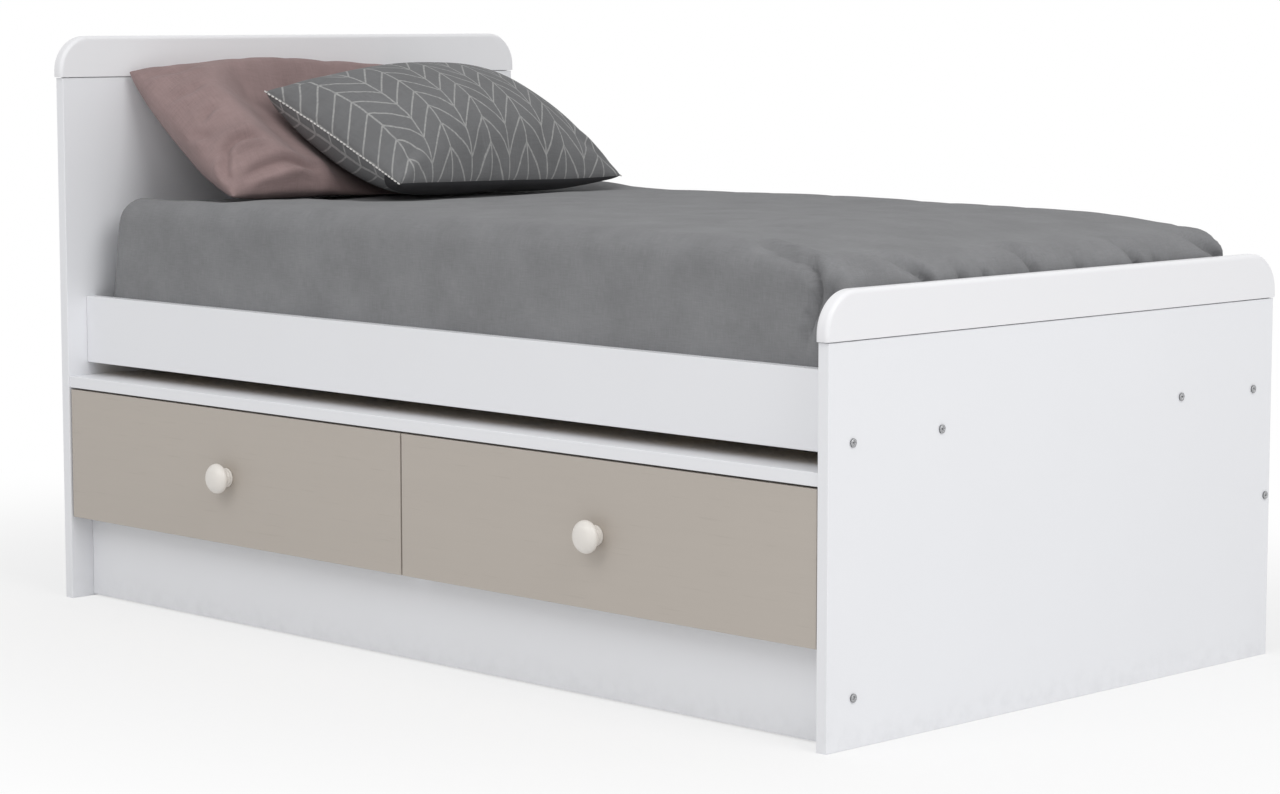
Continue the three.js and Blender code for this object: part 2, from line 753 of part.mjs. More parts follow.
// The bedspread's folds: gathers at the two foot corners, ripples along the foot end and broad
// slanting folds on the long sides. They stand out only above the rails.
function spreadFold(p, z, crowned) {
  const halfLength = mattressLength / 2;
  const halfWidth = mattressWidth / 2;
  const free = smooth((z - railTop - 8) / 40);
  const toCorner = Math.hypot(halfLength - p.x, halfWidth - Math.abs(p.y));
  const nearCorner = smooth(1 - toCorner / gatherReach);
  const around = Math.atan2(halfWidth - Math.abs(p.y) + 30, halfLength - p.x + 30) * gatherReach;
  const gather = nearCorner * gatherDepth * Math.cos(2 * Math.PI * around / gatherPitch);
  const atFoot = smooth(1 - (halfLength - p.x) / 70);
  const ripple = atFoot * rippleDepth * Math.sin(2 * Math.PI * p.y / ripplePitch);
  const slant = Math.sin(2 * Math.PI * (p.x + 0.9 * z) / sideFoldPitch);
  const broad = sideFoldDepth * slant * Math.abs(p.ny);
  const wave = (gather + ripple + broad) * (1 - nearCorner * 0.3);
  if (crowned) {
    return { across: 0, up: 0.4 * (gather + ripple) };
  }
  const behindFootboard = p.nx > 0 && z < footHeight + mattressEdge;
  return { across: free * Math.min(Math.max(wave, -1), behindFootboard ? footRoom : Infinity), up: 0 };
}

function spreadForm(lift = 0) {
  const grow = spreadGap + spreadSide;
  const form = paddedBlock({
    base: mattressBase + hemHeight,
    grow,
    rise: spreadGap + spreadTop,
    counts: { long: 18, short: 13, corner: 5 },
    edgeSteps: 3,
    topInsets: [45, 110, 190],
    fold: spreadFold,
  });
  return toSolid(form.translate(0, 0, lift));
}

// A pillow between two seamed faces: full in the middle, thin at the seam and drawn in between corners
function pillowForm({ width, height, upper, lower, tilt, turn }, grow = 0) {
  const across = 16;
  const along = 12;
  const spread = (i, n) => Math.sin((Math.PI / 2) * (2 * i / n - 1));
  const positions = [];
  const index = [];
  for (const [face, swell] of [[1, upper], [-1, lower]]) {
    const offset = positions.length / 3;
    for (let i = 0; i <= along; i += 1) {
      for (let j = 0; j <= across; j += 1) {
        const s = spread(i, along);
        const t = spread(j, across);
        const full = ((1 - Math.abs(s) ** 2.4) * (1 - Math.abs(t) ** 2.4)) ** 0.62;
        positions.push(
          (height / 2 + grow) * s * (1 - pillowPull * (1 - t * t)),
          (width / 2 + grow) * t * (1 - pillowPull * (1 - s * s)),
          face * (swell + grow) * full,
        );
      }
    }
    for (let i = 0; i < along; i += 1) {
      for (let j = 0; j < across; j += 1) {
        const a = offset + i * (across + 1) + j;
        const b = a + across + 1;
        index.push(...(face > 0 ? [a, b, b + 1, a, b + 1, a + 1] : [a, b + 1, b, a, a + 1, b + 1]));
      }
    }
  }
  const geometry = new THREE.BufferGeometry();
  geometry.setAttribute("position", new THREE.Float32BufferAttribute(positions, 3));
  geometry.setIndex(index);
  const way = new THREE.Euler(0, THREE.MathUtils.degToRad(tilt), THREE.MathUtils.degToRad(turn), "ZYX");
  geometry.applyMatrix4(new THREE.Matrix4().makeRotationFromEuler(way));
  return geometry;
}

// Where a pillow comes to rest: its upper edge towards the headboard, its lowest part in the bedspread
function pillowPlace(pillow) {
  const form = pillowForm(pillow);
  form.computeBoundingBox();
  const { min } = form.boundingBox;
  const x = -innerEnd + capProud + pillow.fromHeadboard - min.x;
  const y = -mattressWidth / 2 + pillow.fromFrontEdge;
  const z = bedTop + mattressCrown - pillow.sink - min.z;
  return [x, y, z];
}

function bedding() {
  piece(bed, "mattress", mattressGeometry(0), finishes.ticking);
  const hollow = toSolid(mattressGeometry(spreadGap));
  piece(bed, "bedspread", toGeometry(spreadForm().subtract(hollow)), finishes.greySpread);

  const underPillows = spreadForm(pillowGap);
  const greyPlace = pillowPlace(greyPillow);
  const grey = toSolid(at(pillowForm(greyPillow), ...greyPlace)).subtract(underPillows);
  piece(bed, "pillow_grey", toGeometry(grey), finishes.charcoalCloth);

  const greySpace = toSolid(at(pillowForm(greyPillow, pillowGap), ...greyPlace));
  const rose = toSolid(at(pillowForm(rosePillow), ...pillowPlace(rosePillow)));
  piece(bed, "pillow_rose", toGeometry(rose.subtract(underPillows).subtract(greySpace)), finishes.roseCloth);
}

headPanel();
footPanel();
caps();
bedBase();
drawerUnit();
drawer("left_drawer", -1);
drawer("right_drawer", 1);
footScrews();
bedding();
bed.position.set(originShiftX, originShiftY, 0);

export default bed;
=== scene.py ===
import math

import bmesh
import bpy
import numpy as np
from bpy.props import FloatProperty, FloatVectorProperty, IntProperty, PointerProperty
from mathutils import Matrix, Vector, noise
from mathutils.bvhtree import BVHTree


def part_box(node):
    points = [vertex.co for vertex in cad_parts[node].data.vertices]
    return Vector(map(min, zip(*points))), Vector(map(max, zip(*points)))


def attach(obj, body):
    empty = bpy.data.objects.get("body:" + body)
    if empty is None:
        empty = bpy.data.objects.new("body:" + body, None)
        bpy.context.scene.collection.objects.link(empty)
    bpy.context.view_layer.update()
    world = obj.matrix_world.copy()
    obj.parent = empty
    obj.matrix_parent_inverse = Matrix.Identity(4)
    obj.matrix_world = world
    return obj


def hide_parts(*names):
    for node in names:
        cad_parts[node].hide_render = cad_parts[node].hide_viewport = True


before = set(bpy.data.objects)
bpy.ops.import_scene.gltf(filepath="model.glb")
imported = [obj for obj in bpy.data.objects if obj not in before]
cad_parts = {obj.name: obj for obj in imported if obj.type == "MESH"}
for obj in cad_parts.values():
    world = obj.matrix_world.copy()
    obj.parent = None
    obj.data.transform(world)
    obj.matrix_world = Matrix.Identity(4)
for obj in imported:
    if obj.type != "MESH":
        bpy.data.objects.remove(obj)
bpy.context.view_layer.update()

bl_info = {
    "name": "Toddler Bed with Drawers",
    "version": (1, 0, 0),
    "blender": (4, 5, 0),
    "location": "View3D > Sidebar > Bed",
    "description": "Finishes, bedding and studio for a low bed with two drawers",
    "category": "Add Mesh",
}

# The frame's own measures, in metres
MM = 0.001
BOXES = {name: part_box(name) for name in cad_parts}
DRAWERS = ("left_drawer", "right_drawer")
WHITE_NODES = [
    "headboard_panel", "footboard_panel", "front_rail", "back_rail", "unit_top", "plinth", "back_panel",
    "divider",
    *(f"{drawer}_{part}" for drawer in DRAWERS for part in ("left_side", "right_side", "back")),
]
SCREW_NODES = sorted(name for name in BOXES if name.startswith("foot_screw"))

# In flat coordinates, how far a pillow's lower cloth lies beside its upper one
BACK_CLOTH = 1.0


def centre(name):
    """The middle of a node's box."""
    low, high = BOXES[name]
    return (low + high) / 2


# Node trees

class Value:
    """One output of a node. Arithmetic on it adds Math nodes to the same tree."""

    def __init__(self, tree, socket):
        self.tree = tree
        self.socket = socket

    def other(self, output):
        """Another output of the same node."""
        return Value(self.tree, self.socket.node.outputs[output])

    def math(self, operation, *others):
        return self.tree.math(operation, self, *others)

    def __add__(self, other):
        return self.math("ADD", other)

    def __sub__(self, other):
        return self.math("SUBTRACT", other)

    def __rsub__(self, other):
        return self.tree.math("SUBTRACT", other, self)

    def __mul__(self, other):
        return self.math("MULTIPLY", other)

    def __truediv__(self, other):
        return self.math("DIVIDE", other)

    def __pow__(self, other):
        return self.math("POWER", other)

    def __mod__(self, other):
        return self.math("FLOORED_MODULO", other)

    def __gt__(self, other):
        return self.math("GREATER_THAN", other)

    def __abs__(self):
        return self.math("ABSOLUTE")

    __radd__ = __add__
    __rmul__ = __mul__

    def sine(self):
        return self.math("SINE")

    def at_least(self, other):
        return self.math("MAXIMUM", other)

    def step(self, low, high):
        """Smoothly from 0 at low to 1 at high. Low may be the larger one."""
        settings = {"interpolation_type": "SMOOTHSTEP"}
        inputs = {"Value": self, "From Min": low, "From Max": high}
        return self.tree.node("ShaderNodeMapRange", settings, inputs)


class Tree:
    """A shader or geometry tree that is filled by calls."""

    def __init__(self, tree):
        self.tree = tree

    def node(self, kind, settings=None, inputs=None, output=0):
        """Adds one node: its settings first, then the values or links of its sockets."""
        made = self.tree.nodes.new(kind)
        for name, value in (settings or {}).items():
            setattr(made, name, value)
        pairs = inputs.items() if isinstance(inputs, dict) else enumerate(inputs or [])
        for key, value in pairs:
            self.feed(made.inputs[key], value)
        return Value(self, made.outputs[output] if len(made.outputs) else None)

    def feed(self, socket, value):
        """Links a value to a socket, or sets a plain one on it. A colour becomes an opaque one."""
        if isinstance(value, Value):
            self.tree.links.new(value.socket, socket)
        else:
            socket.default_value = (*value[:3], 1.0) if socket.type == "RGBA" else value

    def math(self, operation, *values):
        return self.node("ShaderNodeMath", {"operation": operation}, values)

    def mix(self, factor, first, second):
        """One colour over another."""
        return self.node("ShaderNodeMix", {"data_type": "RGBA"}, {0: factor, 6: first, 7: second}, 2)

    def tint(self, colour, strength):
        """A colour made lighter or darker by a number around 1."""
        inputs = {0: colour[:3], "Scale": strength}
        return self.node("ShaderNodeVectorMath", {"operation": "SCALE"}, inputs)

    def place(self, scale=(1, 1, 1), turn=(0, 0, 0)):
        """Object coordinates in metres, scaled and turned."""
        coordinates = self.node("ShaderNodeTexCoord", output="Object")
        inputs = {"Vector": coordinates, "Scale": scale, "Rotation": turn}
        return self.node("ShaderNodeMapping", None, inputs)

    def cloth_place(self, scale=(1, 1, 1)):
        """The cloth's own flat coordinates in metres, scaled."""
        coordinates = self.node("ShaderNodeUVMap", {"uv_map": "flat_cloth"})
        return self.node("ShaderNodeMapping", None, {"Vector": coordinates, "Scale": scale})

    def noise(self, vector, scale, detail, roughness=0.55):
        inputs = {"Vector": vector, "Scale": scale, "Detail": detail, "Roughness": roughness}
        return self.node("ShaderNodeTexNoise", None, inputs)

    def split(self, vector):
        """The three numbers of a vector."""
        x = self.node("ShaderNodeSeparateXYZ", None, [vector])
        return x, x.other(1), x.other(2)

    def upright(self, z):
        """A vector along Z."""
        return self.node("ShaderNodeCombineXYZ", None, [0.0, 0.0, z])

    def bump(self, height, distance, strength):
        inputs = {"Height": height, "Distance": distance, "Strength": strength}
        return self.node("ShaderNodeBump", None, inputs)

    def moved(self, geometry, shift, turn=(0, 0, 0)):
        """A geometry shifted and turned."""
        inputs = {"Geometry": geometry, "Translation": shift, "Rotation": turn}
        return self.node("GeometryNodeTransform", None, inputs)

    def joined(self, *parts):
        """Several geometries as one."""
        whole = self.node("GeometryNodeJoinGeometry")
        for part in parts:
            self.tree.links.new(part.socket, whole.socket.node.inputs[0])
        return whole

    def along(self, vector):
        """The turn that lays Z along a vector."""
        return self.node("FunctionNodeAlignEulerToVector", {"axis": "Z"}, {"Vector": vector})

    def repeated(self, points, instance, turn):
        """A geometry on each of the given points."""
        inputs = {"Points": points, "Instance": instance, "Rotation": turn}
        return self.node("GeometryNodeInstanceOnPoints", None, inputs)


def socket_name(key):
    """A shader socket's name from a keyword, such as Specular IOR Level."""
    return key.replace("_", " ").title().replace("Ior", "IOR")


class Finish:
    """A new material. What is the same all over it is set at once, what varies by vary."""

    def __init__(self, name, roughness, **uniform):
        self.material = bpy.data.materials.new(name)
        self.material.use_nodes = True
        self.tree = Tree(self.material.node_tree)
        self.shader = self.material.node_tree.nodes["Principled BSDF"]
        for key, value in {"roughness": roughness, **uniform}.items():
            self.shader.inputs[socket_name(key)].default_value = value

    def vary(self, **varying):
        """Links what changes over the surface, and gives the finished material."""
        for key, value in varying.items():
            self.tree.feed(self.shader.inputs[socket_name(key)], value)
        return self.material


# Finishes of boards and hardware

def white_board(colours):
    """White melamine: a fine pearl texture, faint clouding and a little dust near the floor."""
    finish = Finish("white_board", 0.4)
    tree = finish.tree
    place = tree.place()
    cloud = tree.noise(place, 6.0, 4.0)
    pearl = tree.noise(place, 1400.0, 2.0)
    height = tree.split(place)[2]
    dust = height.step(45 * MM, 0.0) * tree.noise(place, 60.0, 5.0).step(0.35, 0.75)
    return finish.vary(
        base_color=tree.tint(colours.white_board, 0.985 + cloud * 0.03 - dust * 0.05),
        roughness=0.34 + cloud * 0.1 + pearl * 0.06 + dust * 0.2,
        normal=tree.bump(pearl, 0.05 * MM, 0.35),
    )


def grain(tree, along, fine):
    """Lengthwise wood figure, from 0 to 1, along one axis of the object, and its coordinates."""
    stretch = [fine, fine, fine]
    stretch[along] = fine * 0.035
    place = tree.place(scale=stretch)
    bend = tree.noise(place, 0.12, 2.0)
    figure = tree.noise(place, 1.0, 6.0, 0.62)
    return figure * 0.7 + bend * 0.6 - 0.15, place


def taupe_board(colours):
    """Taupe wood-print laminate with a close lengthwise grain pressed into it."""
    finish = Finish("taupe_board", 0.5)
    tree = finish.tree
    figure, place = grain(tree, 0, 130.0)
    clouds = tree.noise(tree.place(scale=(3, 9, 9)), 1.0, 3.0)
    pore = tree.noise(place, 3.2, 2.0).step(0.38, 0.26)
    strength = 0.955 + figure * 0.05 + clouds * 0.04 - pore * 0.035
    return finish.vary(
        base_color=tree.tint(colours.drawer_front, strength),
        roughness=0.44 + pore * 0.2 + clouds * 0.08,
        normal=tree.bump(figure - pore * 0.6, 0.07 * MM, 0.5),
    )


def shaded(colour, shares):
    """A colour with each channel lowered to its share."""
    return [channel * share for channel, share in zip(colour, shares)]


def pine(colours, name, along):
    """Planed pine with late-wood lines and a few small knots."""
    finish = Finish(name, 0.62)
    tree = finish.tree
    figure, place = grain(tree, along, 95.0)
    pores = tree.noise(place, 3.2, 2.0)
    stretch = [9.0, 9.0, 9.0]
    stretch[along] = 2.4
    spot = {"Vector": tree.place(scale=stretch), "Scale": 1.0}
    knot_distance = tree.node("ShaderNodeTexVoronoi", {"feature": "F1"}, spot)
    knot = knot_distance.step(0.16, 0.05)
    rings = ((figure * 26.0 + knot_distance * 30.0).sine() * 0.5 + 0.5) ** 2.0
    dark = shaded(colours.pine, (0.72, 0.6, 0.5))
    brown = shaded(colours.pine, (0.42, 0.3, 0.22))
    wood = tree.mix(rings * 0.55 + pores * 0.1, colours.pine, dark)
    return finish.vary(
        base_color=tree.mix(knot * 0.85, wood, brown),
        roughness=0.52 + rings * 0.12 + pores * 0.1,
        normal=tree.bump(rings + pores * 0.4, 0.12 * MM, 0.5),
    )


def hardboard(colours):
    """White-lacquered hardboard with a slight fibre relief."""
    finish = Finish("hardboard", 0.5)
    tree = finish.tree
    fibre = tree.noise(tree.place(scale=(700, 700, 700)), 1.0, 5.0, 0.7)
    cloud = tree.noise(tree.place(), 9.0, 3.0)
    return finish.vary(
        base_color=tree.tint(colours.hardboard, 0.95 + cloud * 0.06 + fibre * 0.03),
        roughness=0.42 + fibre * 0.2,
        normal=tree.bump(fibre, 0.08 * MM, 0.5),
    )


def knob_plastic(colours):
    """Moulded ivory plastic, faintly speckled, with a soft gloss."""
    finish = Finish("knob_plastic", 0.3, coat_weight=0.15, coat_roughness=0.2)
    tree = finish.tree
    place = tree.place()
    cloud = tree.noise(place, 40.0, 3.0)
    speck = tree.noise(place, 900.0, 2.0)
    return finish.vary(
        base_color=tree.tint(colours.knob, 0.97 + cloud * 0.05),
        roughness=0.27 + cloud * 0.12 + speck * 0.05,
        normal=tree.bump(speck, 0.03 * MM, 0.3),
    )


def coated_steel(colours):
    """White epoxy coat on sheet steel, with orange peel and bare metal rubbed through in specks."""
    finish = Finish("coated_steel", 0.4)
    tree = finish.tree
    peel = tree.noise(tree.place(), 420.0, 2.0)
    worn = tree.noise(tree.place(scale=(60, 8, 60)), 4.0, 6.0, 0.7).step(0.68, 0.74)
    return finish.vary(
        base_color=tree.mix(worn * 0.8, colours.steel, colours.bare_steel),
        metallic=worn * 0.8,
        roughness=0.34 + peel * 0.14 + worn * 0.1,
        normal=tree.bump(peel - worn * 0.5, 0.06 * MM, 0.4),
    )


def nylon(colours):
    """Natural nylon with a slightly waxy, scuffed running face."""
    finish = Finish("nylon", 0.45, subsurface_weight=0.05)
    tree = finish.tree
    scuff = tree.noise(tree.place(scale=(300, 40, 40)), 3.0, 4.0)
    cloud = tree.noise(tree.place(), 90.0, 2.0)
    return finish.vary(
        base_color=tree.tint(colours.nylon, 0.93 + cloud * 0.08),
        roughness=0.36 + scuff * 0.25,
        normal=tree.bump(scuff, 0.05 * MM, 0.4),
    )


def screw_steel(colours):
    """Zinc-plated steel, slightly uneven and dull."""
    finish = Finish("screw_steel", 0.35, metallic=0.9)
    tree = finish.tree
    patch = tree.noise(tree.place(), 500.0, 4.0)
    brush = tree.noise(tree.place(scale=(200, 1500, 1500)), 2.0, 2.0)
    return finish.vary(
        base_color=tree.tint(colours.screw, 0.8 + patch * 0.4),
        roughness=0.28 + patch * 0.2 + brush * 0.1,
        normal=tree.bump(brush, 0.02 * MM, 0.4),
    )


# Cloth finishes, all drawn on the cloth's own flat coordinates

def weave(tree, pitch):
    """A plain weave's height, from 0 to 1: warp and weft pass over each other by turns."""
    across, along, _ = tree.split(tree.cloth_place(scale=(math.pi / pitch, math.pi / pitch, 1)))
    warp = abs(across.sine())
    weft = abs(along.sine())
    over = (across / math.pi + (along / math.pi).math("FLOOR")) % 2.0
    return tree.node("ShaderNodeMix", {"data_type": "FLOAT"}, {0: over > 1.0, 2: warp, 3: weft})


def woven(name, colour, pitch, mottle, relief, sheen):
    """Base of every cloth, as (finish, its shaded colour): the weave's shade and relief, slubs, and
    cloudy unevenness of the dye. Slubs are 22 threads long and 1.6 wide."""
    finish = Finish(name, 0.9, sheen_weight=sheen, sheen_roughness=0.5, specular_ior_level=0.12)
    tree = finish.tree
    height = weave(tree, pitch)
    long, wide = 1 / pitch / 22, 1 / pitch / 1.6
    warp_slub = tree.noise(tree.cloth_place(scale=(long, wide, 1)), 1.0, 3.0)
    slubs = warp_slub + tree.noise(tree.cloth_place(scale=(wide, long, 1)), 1.0, 3.0)
    cloud = tree.noise(tree.cloth_place(), 14.0, 5.0, 0.6)
    shade = 1.0 + (height - 0.6) * 0.22 + (slubs - 1.0) * 0.28 + (cloud - 0.5) * mottle
    finish.vary(roughness=0.84 + cloud * 0.12, normal=tree.bump(height + slubs * 0.8, relief, 0.6))
    return finish, tree.tint(colour, shade)


def plain_cloth(name, colour, pitch, mottle, relief=0.12 * MM, sheen=0.06):
    """A cloth of one colour."""
    finish, base = woven(name, colour, pitch, mottle, relief, sheen)
    return finish.vary(base_color=base)


def ticking_cloth(colour, stripe, pitch):
    """Mattress ticking: off-white twill with narrow paired stripes along the mattress."""
    finish, base = woven("ticking", colour, pitch, mottle=0.1, relief=0.1 * MM, sheen=0.1)
    tree = finish.tree
    spacing, from_middle, half_width, blur = 38 * MM, 3 * MM, 1.1 * MM, 0.2 * MM
    distance = abs(tree.split(tree.cloth_place())[1] % spacing - spacing / 2)
    line = abs(distance - from_middle).step(half_width + blur, half_width - blur)
    return finish.vary(base_color=tree.mix(line * 0.8, base, stripe))


def chevron_cloth(colours, sizes):
    """Grey cloth with a drawn herringbone: straight spines, and rungs that fall from every other
    spine to its neighbours in a slight curve, a little uneven as if printed from a hand drawing.
    A plain dark strip along the lower edge of the back is painted shade, for the shadow under the
    pillow's lower seam."""
    column, rung = sizes.grey_width / sizes.columns, sizes.rung
    line_edge = 0.62 * sizes.line, 0.38 * sizes.line
    look = {"pitch": 0.9 * MM, "mottle": 0.35, "relief": 0.14 * MM, "sheen": 0.06}
    finish, base = woven("grey_cloth", colours.charcoal, **look)
    tree = finish.tree
    u, v, _ = tree.split(tree.cloth_place())
    wobble = tree.noise(tree.cloth_place(), 28.0, 2.0) - 0.5
    across = u + wobble * 4.0 * MM
    along = v - wobble * 6.0 * MM
    fall = abs(across % (2 * column) - column) / column
    curve = fall * 0.85 + fall * fall * 0.15
    rung_distance = abs((along - curve * sizes.drop) % rung - rung / 2)
    slope = math.hypot(1.0, sizes.drop / column)
    rungs = (rung_distance / slope).step(*line_edge)
    spines = abs((across + column / 2) % column - column / 2).step(*line_edge)
    worn = tree.noise(tree.cloth_place(), 240.0, 3.0).step(0.3, 0.62) * 0.5 + 0.5
    printed = tree.mix(rungs.at_least(spines) * worn, base, colours.pattern)
    # Painted shade: a dark strip on the back cloth along its lower edge, where the pillow's underside
    # lies in shadow
    placket = (u > BACK_CLOTH / 2) * (v > sizes.grey_height / 2 - sizes.placket)
    return finish.vary(base_color=tree.mix(placket, printed, colours.placket))


def thread(colour):
    """Twisted sewing thread."""
    finish = Finish("thread", 0.75, sheen_weight=0.2)
    tree = finish.tree
    place = tree.place(scale=(2400, 2400, 2400), turn=(0.5, 0.6, 0.4))
    twist = tree.split(place)[0].sine() * 0.5 + 0.5
    return finish.vary(
        base_color=tree.tint(colour, 0.85 + twist * 0.15), normal=tree.bump(twist, 0.05 * MM, 0.6)
    )


# Sizes and colours that a user may change

def setting(kind, name, description, default, **limits):
    """A number or a row of numbers with its name, description, default, and limits or unit."""
    return kind(name=name, description=description, default=default, **limits)


def colour(*texts):
    return setting(FloatVectorProperty, *texts, size=3, min=0, max=1, subtype="COLOR")


def length(*texts):
    return setting(FloatProperty, *texts, min=0, max=2, subtype="DISTANCE", unit="LENGTH")


def angle(name, description, degrees):
    turn = math.radians(degrees)
    return setting(FloatProperty, name, description, turn, subtype="ANGLE", unit="ROTATION")


def shift(*texts):
    return setting(FloatVectorProperty, *texts, size=3, subtype="TRANSLATION", unit="LENGTH")


def share(*texts, high=1.0):
    return setting(FloatProperty, *texts, min=0, max=high, subtype="FACTOR")


def power(*texts):
    return setting(FloatProperty, *texts, min=0, unit="POWER")


class BedColours(bpy.types.PropertyGroup):
    """Colours of every finish on the bed."""

    white_board: colour("White board", "Melamine of the panels, rails and unit", (0.845, 0.852, 0.878))
    drawer_front: colour("Drawer front", "Taupe laminate of the drawer fronts", (0.489, 0.443, 0.395))
    pine: colour("Pine", "Slats, ledges and cleats", (0.70, 0.57, 0.38))
    hardboard: colour("Hardboard", "Drawer bottoms", (0.80, 0.79, 0.77))
    knob: colour("Knob", "Moulded drawer knobs", (0.80, 0.765, 0.72))
    steel: colour("Runner coat", "Epoxy coat of the runners", (0.78, 0.78, 0.77))
    bare_steel: colour("Bare steel", "Steel where the runner coat is rubbed through", (0.42, 0.42, 0.43))
    nylon: colour("Roller", "Nylon of the runner rollers", (0.85, 0.84, 0.80))
    screw: colour("Screw", "Zinc plating of the screws", (0.42, 0.424, 0.435))
    ticking: colour("Ticking", "Mattress cover", (0.82, 0.80, 0.76))
    ticking_stripe: colour("Ticking stripe", "Stripes of the mattress cover", (0.35, 0.42, 0.52))
    spread: colour("Bedspread", "Grey bedspread", (0.232, 0.234, 0.241))
    rose: colour("Rose pillow", "Rose pillow case", (0.305, 0.221, 0.216))
    charcoal: colour("Grey pillow", "Ground of the patterned pillow case", (0.182, 0.184, 0.188))
    # Painted shade: this dark colour stands for the shadow under the grey pillow's lower edge
    placket: colour("Placket", "Strip over the zip of the patterned pillow", (0.05, 0.05, 0.054))
    pattern: colour("Pattern", "Lines of the patterned pillow case", (0.39, 0.39, 0.385))
    thread: colour("Thread", "Seam stitches of the patterned pillow case", (0.74, 0.73, 0.71))


class BedBoards(bpy.types.PropertyGroup):
    """Forms of the caps, knobs and screws."""

    cap_corner: length("Cap corner", "Radius of a cap's upper corners", 46 * MM)
    cap_edge: length("Cap edge", "Rounding along a cap's edges", 5 * MM)
    cap_tongue: length("Cap tongue", "Thickness of the tongue under a cap", 9 * MM)
    cap_groove: length("Cap groove", "Height of the shadow groove under a cap", 0.8 * MM)
    arris: length("Arris", "Softening of a cap's sawn edges", 0.4 * MM)
    knob_base: length("Knob base", "Radius of a knob's foot", 12 * MM)
    knob_neck: length("Knob neck", "Radius of a knob's waist", 8.5 * MM)
    screw_head: length("Screw head", "Radius of the end panels' screw heads", 4.8 * MM)
    screw_proud: length("Screw head height", "How far a screw head stands out", 2.4 * MM)
    screw_core: length("Screw core", "Radius of a screw's core", 1.9 * MM)
    screw_length: length("Screw length", "Length of a screw under its head", 39 * MM)
    thread_pitch: length("Thread pitch", "Rise of a screw's thread in one turn", 1.9 * MM)
    runner_head: length("Runner screw head", "Radius of the runners' flat screw heads", 3.4 * MM)
    runner_proud: length("Runner screw height", "How far a runner's screw heads stand out", 0.5 * MM)
    runner_core: length("Runner screw core", "Radius of a runner screw's core", 1.3 * MM)
    runner_length: length("Runner screw length", "Length of a runner's screw under its head", 9 * MM)
    runner_pitch: length("Runner screw pitch", "Rise of its thread in one turn", 1.3 * MM)
    runner_inset: length("Runner screw inset", "From a runner's ends to its outer screws", 70 * MM)
    runner_lip: length("Runner lip", "Width of the lip under a drawer side", 12 * MM)
    sheet: length("Sheet steel", "Thickness of the runners' steel", 1.2 * MM)


class BedCovers(bpy.types.PropertyGroup):
    """Mattress and bedspread."""

    crown: length("Crown", "Rise of the bed's middle over its edge", 6 * MM)
    corner: length("Corner", "Plan radius of the bed's corners", 47 * MM)
    edge: length("Edge", "Rounding of the bedspread's upper edge", 30 * MM)
    head_lean: length("Head lean", "How far the head end leans away from the headboard", 30 * MM)
    lean_reach: length("Lean reach", "Length of bed over which the head end leans", 260 * MM)
    cloth: length("Cloth", "Thickness of the bedspread", 2.6 * MM)
    cell: length("Cell", "Side of one face of the bedspread", 6.6 * MM)
    swell: length("Swell", "Height of the bedspread's broad unevenness", 3.2 * MM)
    wrinkle: length("Wrinkle", "Height of the bedspread's small wrinkles", 1.2 * MM)
    foot_sag: length("Foot sag", "Fall of the bed's top at the foot end", 18 * MM)
    sag_reach: length("Sag reach", "Length of bed over which the foot end sags", 250 * MM)
    foot_fold: length("Foot fold", "Depth of the folds along the foot end", 11 * MM)
    corner_fold: length("Corner fold", "Depth of the folds round the foot corners", 12 * MM)
    fold_width: length("Fold width", "Width of a fold's valley", 8 * MM)
    bulge: length("Bulge", "How far the bedspread hangs beyond the mattress at the sides", 4.2 * MM)
    dent: length("Dent", "How far the bed gives way under the pillows", 7 * MM)
    dent_rim: length("Dent rim", "Width of the slope round the pillows' dent", 35 * MM)
    ridge: length("Ridge", "Height of the cloth pushed up beyond the pillows' far corner", 6.5 * MM)
    mattress_inset: length("Mattress inset", "How far the mattress stays inside the bedspread", 9 * MM)
    mattress_edge: length("Mattress edge", "Rounding of the mattress's edges", 22 * MM)
    mattress_cell: length("Mattress cell", "Side of one face of the mattress", 9 * MM)
    quilting: length("Quilting", "Depth of the mattress's quilting", 2.2 * MM)
    quilting_pitch: length("Quilting pitch", "Distance between lines of quilting", 70 * MM)
    piping: length("Piping", "Radius of the mattress's piping", 2.6 * MM)


